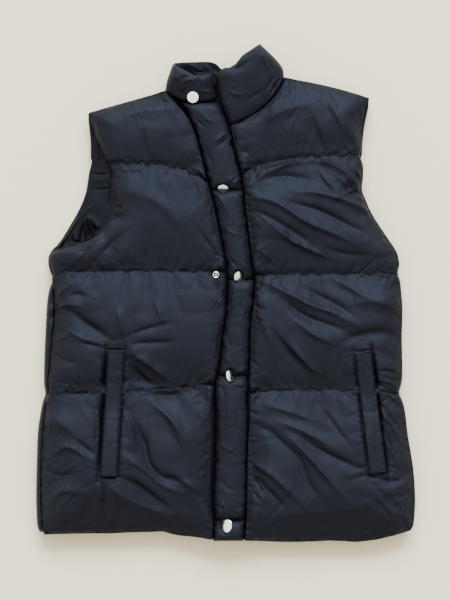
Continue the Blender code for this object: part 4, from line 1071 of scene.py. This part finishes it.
armholeLining = {
    "name": "armholeLining", "thick": 1.2, "base": 20.7, "rise": 4.5, "lowest": 20.3,
    # both edges from the shoulder down, in pixels
    "outer": [(88.5, 114), (91, 130), (92, 145), (92, 160), (89.5, 173), (91, 183), (86, 196),
              (81, 210), (71, 228), (63, 240), (51, 252)],
    "inner": [(89, 113.5), (97, 128), (103, 142), (107, 155), (110, 168), (112.5, 185),
              (112.5, 200), (111.5, 214), (102, 230), (79, 244), (52, 252.5)],
    "creases": [
        # the facing's seams beside the armhole, and the loop across them
        (-3, 1.4, 94, 126, 94.6, 145, 95.5, 172), (-2.5, 1.4, 98, 132, 99, 150, 99.5, 172),
        (-4, 1.5, 86, 173.6, 97, 174, 109, 173.4), (1.5, 6, 88, 181, 98, 181, 110, 180),
        (-4, 1.5, 88, 188.4, 98, 189, 112, 187.6), (-4, 2, 109, 176, 110, 190, 109, 208),
        (2, 6, 94, 196, 97, 206, 98, 214),
        # the crumpled lining under the armhole
        (8, 3, 86, 215, 81, 228, 77, 242), (-6, 2, 84.5, 222, 81, 232, 79.5, 242),
        (7, 2.6, 84, 220, 85, 231, 86, 240), (-6, 2, 87, 221, 88.5, 230, 88.5, 238),
        (8, 3, 87, 216, 91, 226, 93, 237), (7, 3, 88, 216, 94, 224, 101, 229),
        (-5, 2, 91, 221, 95, 228, 97, 234), (7, 3.5, 80, 213, 70, 229, 59, 246),
        (-7, 2.6, 77, 223, 72, 234, 67, 246), (5, 2.4, 73, 228, 73, 237, 74, 244),
        (5, 2.4, 64, 237, 61, 243, 57, 249), (-6, 2.4, 71, 240, 76, 241, 82, 242),
        (-5, 2, 66, 240, 63, 245, 60, 250), (4, 2.6, 92, 206, 84, 213, 80, 220),
    ],
    "flat": (0.075, 0.21), "area": 0.0079, "rests": "quiltedBack",
}
collarInside = {
    "name": "collarInside", "thick": 1.2, "base": 22.0, "rise": 2.0, "lowest": 20.3,
    # the upper edge, and the edge along the two collar fronts, in pixels
    "outer": [(176.5, 62.9), (183, 62.4), (190, 62.1), (196, 62), (202, 61.8), (207, 61.8),
              (211.5, 62.2), (214, 63.3), (216.5, 64.8), (219, 67), (221.5, 69.5)],
    "inner": [(174, 63.6), (181, 66.8), (188, 70.2), (194, 73), (199.2, 75.4), (204.5, 74),
              (211, 73.2), (213, 79.5), (215.4, 85), (217.8, 80), (220.6, 74.6)],
    "creases": [
        (-3, 2.5, 178, 64, 188, 69, 198, 74), (4, 4, 184, 63.5, 192, 66, 199, 70.5),
        (-4, 3, 209, 63, 214, 68, 219, 72.5), (3, 4, 203, 63, 206, 68, 209, 72),
        (-3, 3, 196, 71, 201, 72, 206, 71), (3, 3, 213, 73, 216, 76, 217, 80),
    ],
    "flat": (0.03, 0.085), "area": 0.0014, "rests": "collarBack",
}


liningGrid = {"rows": 150, "columns": 46, "crumple": 0.6, "crumpleSize": 16, "full": 0.9}


def makeLining(patch):
    steps = np.linspace(0, len(patch["outer"]) - 1, liningGrid["rows"])
    outer, inner = (fromPixels(catmullRom(patch[edge], steps)) for edge in ("outer", "inner"))
    parts = np.linspace(0, 1, liningGrid["columns"])[None, :, None]
    places = outer[:, None] * (1 - parts) + inner[:, None] * parts
    x, y = places[..., 0], places[..., 1]
    rise = creaseHeight(patch["creases"], x, y)
    rise += liningGrid["crumple"] * softNoise(7, x, y, liningGrid["crumpleSize"])
    across = parts[..., 0]
    z = patch["base"] + patch["rise"] * smoothStep(across, 0.0, liningGrid["full"])
    z = z + rise * np.sin(np.pi * across) ** 0.3
    under = np.maximum(z, patch["lowest"] + 0.1)
    topGrid = atHeight(places, under + patch["thick"])
    piece = closedShell(patch["name"], topGrid, atHeight(places, under))
    dress(piece, liningNylonPaintedShade, "lining")


makeLining(armholeLining)
makeLining(collarInside)
print("lining made")


# Snaps: turned caps on the flap and the collar, and the open snap's stud on the right front

def turnedPiece(name, profiles, lean, centre):
    # spins profiles of (radius, height) round their axis, then places the piece
    builder = bmesh.new()
    for profile in profiles:
        points = [builder.verts.new((radius * mm, 0, height * mm)) for radius, height in profile]
        edges = [builder.edges.new(pair) for pair in zip(points, points[1:])]
        bmesh.ops.spin(builder, geom=points + edges, cent=(0, 0, 0), axis=(0, 0, 1),
                       angle=2 * math.pi, steps=48, use_merge=True)
    bmesh.ops.remove_doubles(builder, verts=builder.verts, dist=1e-6)
    bmesh.ops.recalc_face_normals(builder, faces=builder.faces)
    builder.transform(Matrix.Translation(centre) @ lean)
    return finished(meshObject(name, builder), 45)


def makeSnaps():
    height = snaps["height"]
    turns = np.radians(np.linspace(0, snaps["domeTurn"], snaps["domeSteps"]))
    for number, (leanX, leanY, radius) in snaps["caps"].items():
        bend = snaps["domeShare"] * radius / math.sin(turns[-1])
        dome = [(bend * math.sin(turn), height - bend * (1 - math.cos(turn))) for turn in turns]
        foot = dome[-1][1]
        cap = dome + [(0.99 * radius, 0.8 * foot), (radius, 0.5 * foot),
                      (0.99 * radius, 0.15 * foot), (0.96 * radius, 0), (0, 0)]
        lean = leanOf(leanX, leanY)
        middle = Vector(snapCentre(f"snap_cap_{number}") * mm)
        centre = middle - lean @ Vector((0, 0, 0.5 * height * mm))
        piece = turnedPiece(f"snapCap{number}", [cap], lean, centre)
        dress(piece, nickel, "snap", f"snap_cap_{number}")
    low, high = (Vector(corner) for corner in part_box("snap_stud_3"))
    centre = Vector((0.5 * (low.x + high.x), 0.5 * (low.y + high.y), low.z))
    wide, tall = snaps["studShare"] * snaps["studRadius"], snaps["studHeight"]
    ring = [(0.72 * wide, 0), (wide, 0), (wide, 0.35 * tall), (0.95 * wide, 0.52 * tall),
            (0.85 * wide, 0.6 * tall), (0.75 * wide, 0.5 * tall), (0.72 * wide, 0.3 * tall),
            (0.72 * wide, 0)]
    post = [(0, 0.85 * tall), (0.12 * wide, 0.97 * tall), (0.2 * wide, tall),
            (0.27 * wide, 0.9 * tall), (0.3 * wide, 0.7 * tall), (0.26 * wide, 0), (0, 0)]
    stud = turnedPiece("snapStud3", [ring, post], Matrix(), centre)
    dress(stud, nickel, "snap", "snap_stud_3")


makeSnaps()
print("snaps made")


# Pocket welts, each on the front it is sewn to

welts = {
    "width": 25.0, "length": 187.0, "thick": 3.6, "lift": 0.4, "rows": 185, "columns": 17,
    "edgeFall": 0.6, "edgeRoll": 2.0, "ripple": 1.3, "rippleSize": 15,
    "spacing": (3.0, 8.0), "tucks": 0.8, "tuckReach": 5.0,
    "mostFall": 1.5,  # the welt bridges the pocket's mouth
    "span": 18,  # rows over which a welt spans what lies under it
    "right": {"top": (-162, -86), "foot": (-173, -272), "front": rightFront},
    "left": {"top": (205.5, -88), "foot": (227.5, -267), "front": leftFront},
}


def surfaceOf(piece):
    points = [vertex.co for vertex in piece.data.vertices]
    return BVHTree.FromPolygons(points, [tuple(face.vertices) for face in piece.data.polygons])


def heightOn(surface, x, y):
    hit = surface.ray_cast(Vector((x * mm, y * mm, 1)), Vector((0, 0, -1)))[0]
    return hit.z / mm if hit else form["frontUnder"]


def makeWelt(side):
    place = welts[side]
    surface = surfaceOf(place["front"]["object"])
    top, foot = np.array(place["top"], float), np.array(place["foot"], float)
    along = (foot - top) / np.linalg.norm(foot - top)
    across = np.array([-along[1], along[0]])
    steps = np.linspace(0, 1, welts["rows"])
    shifts = np.linspace(-0.5, 0.5, welts["columns"]) * welts["width"]
    middle = top + (foot - top) * steps[:, None]
    places = middle[:, None] + across * shifts[None, :, None]
    height = np.array([[heightOn(surface, x, y) for x, y in row] for row in places])
    reach = welts["span"]
    longer = np.pad(height, ((reach, reach), (0, 0)), mode="edge")
    height = np.mean([longer[start:start + len(steps)] for start in range(2 * reach + 1)], axis=0)
    height = np.maximum(height, np.median(height, axis=1, keepdims=True) - welts["mostFall"])
    under = height + welts["lift"]
    fromEdge = 0.5 * welts["width"] - np.abs(shifts) + 0 * height
    edge = 1 - welts["edgeFall"] * (1 - rounded(fromEdge, welts["edgeRoll"]))
    tucks = pleats(95, places[..., 1], fromEdge, welts["spacing"])
    ripple = np.abs(softNoise(91, places[..., 0], places[..., 1], welts["rippleSize"]))
    ripple = welts["ripple"] * ripple + welts["tucks"] * tucks * bell(fromEdge, welts["tuckReach"])
    raised = under + welts["thick"] * edge + ripple
    place["points"] = atHeight(places, raised)
    name = f"pocketWelt{side.capitalize()}"
    piece = closedShell(name, place["points"][::-1], atHeight(places, under)[::-1])
    dress(piece, shellNylon, "shell", f"welt_{side}")


makeWelt("right")
makeWelt("left")
print("welts made")


# Stitches: a row of short thread beads along every quilting line and round each pocket welt

stitch = {
    "pitch": 4.2, "length": 1.8, "thick": 0.6, "rise": 0.2,
    "ahead": 1.5,  # a stitch points at the place this far along
    "weltInset": 1.8, "pocketClear": 17.0, "fewest": 5,
}


def sewAlong(builder, path):  # one bead each pitch, laid along the path
    lengths = travelledAlong(path)
    stations = np.arange(0.5 * stitch["pitch"], lengths[-1], stitch["pitch"])
    ahead = placesAt(stations + stitch["ahead"], lengths, path)
    for place, aim in zip(placesAt(stations, lengths, path), ahead):
        turn = Vector(aim - place).to_track_quat("X", "Z").to_matrix().to_4x4()
        size = Matrix.Diagonal((stitch["length"], stitch["thick"], stitch["thick"], 1 / mm)) * mm
        middle = Matrix.Translation(Vector(place + (0, 0, stitch["rise"])) * mm)
        bmesh.ops.create_uvsphere(builder, u_segments=6, v_segments=4, radius=1.0,
                                  matrix=middle @ turn @ size)


def makeStitches():
    for front in (rightFront, leftFront):
        builder = bmesh.new()
        for row in front["seamRows"][1:-1]:
            away, clear = finer(front["pocketAway"])[2 * row], stitch["pocketClear"]
            for run in np.split(np.arange(len(away)), np.flatnonzero(np.diff(away > clear)) + 1):
                if away[run].mean() > clear and len(run) > stitch["fewest"]:
                    sewAlong(builder, front["top"][2 * row][run])
        dress(finished(meshObject(front["name"] + "Stitches", builder)), thread, None)
    for side in ("right", "left"):
        points = welts[side]["points"]
        inset = round(stitch["weltInset"] / welts["width"] * (points.shape[1] - 1))
        builder = bmesh.new()
        for path in (points[:, inset], points[:, -1 - inset], points[2], points[-3]):
            sewAlong(builder, path)
        name = f"pocketWelt{side.capitalize()}Stitches"
        dress(finished(meshObject(name, builder)), thread, None)


makeStitches()
print("stitches made")


# Floor, light and camera

studio = {
    "floor": "#dad0b3", "room": (1.0, 0.955, 0.86, 1.0),
    # the room is brighter towards this direction, from its darkest to its brightest
    "roomBright": (-0.25, 0.72, 0.65), "roomRange": (0.55, 2.28), "roomSpread": 0.7,
    "keyPower": 5300, "keyPlace": (0.9, 10.1, 8.8), "keySize": (9.6, 5.8),
    "keyColour": (0.78, 0.9, 1.0),
    "cameraHeight": 4.0, "centreY": -10.5, "exactHeight": 24.0,
}

floorBuilder = bmesh.new()
bmesh.ops.create_grid(floorBuilder, x_segments=1, y_segments=1, size=3.0)
floor = meshObject("paleFloor", floorBuilder)
# uncoated paper: plain, matt and pale
paper, *_ = newMaterial("uncoatedPaper", {"Base Color": toLinear(studio["floor"]),
                                          "Roughness": 0.9})
floor.data.materials.append(paper)

world = bpy.data.worlds.new("studio")
bpy.context.scene.world = world
world.use_nodes = True
room = world.node_tree.nodes["Background"]
room.inputs["Color"].default_value = studio["room"]
direction = addNode(world.node_tree, "ShaderNodeTexCoord").outputs["Generated"]
towards = addNode(world.node_tree, "ShaderNodeVectorMath",
                  {"operation": "DOT_PRODUCT", 1: studio["roomBright"]}, {0: direction})
fade = addNode(world.node_tree, "ShaderNodeMapRange",
               {"From Min": -studio["roomSpread"], "From Max": studio["roomSpread"],
                "To Min": studio["roomRange"][0], "To Max": studio["roomRange"][1]},
               {"Value": towards.outputs["Value"]})
world.node_tree.links.new(fade.outputs["Result"], room.inputs["Strength"])

softBox = bpy.data.lights.new("softBox", "AREA")
softBox.shape, softBox.energy = "RECTANGLE", studio["keyPower"]
softBox.size, softBox.size_y = studio["keySize"]
softBox.color = studio["keyColour"]
lamp = bpy.data.objects.new("softBox", softBox)
bpy.context.scene.collection.objects.link(lamp)
lamp.location = studio["keyPlace"]
lamp.rotation_euler = (-lamp.location).to_track_quat("-Z", "Y").to_euler()

lens = bpy.data.cameras.new("overhead")
camera = bpy.data.objects.new("overhead", lens)
bpy.context.scene.collection.objects.link(camera)
camera.location = (0.0, studio["centreY"] * mm, studio["cameraHeight"])
framed = imageFrame["height"] * imageFrame["mmPerPixel"] * mm
lens.lens = lens.sensor_width * (studio["cameraHeight"] - studio["exactHeight"] * mm) / framed
bpy.context.scene.camera = camera
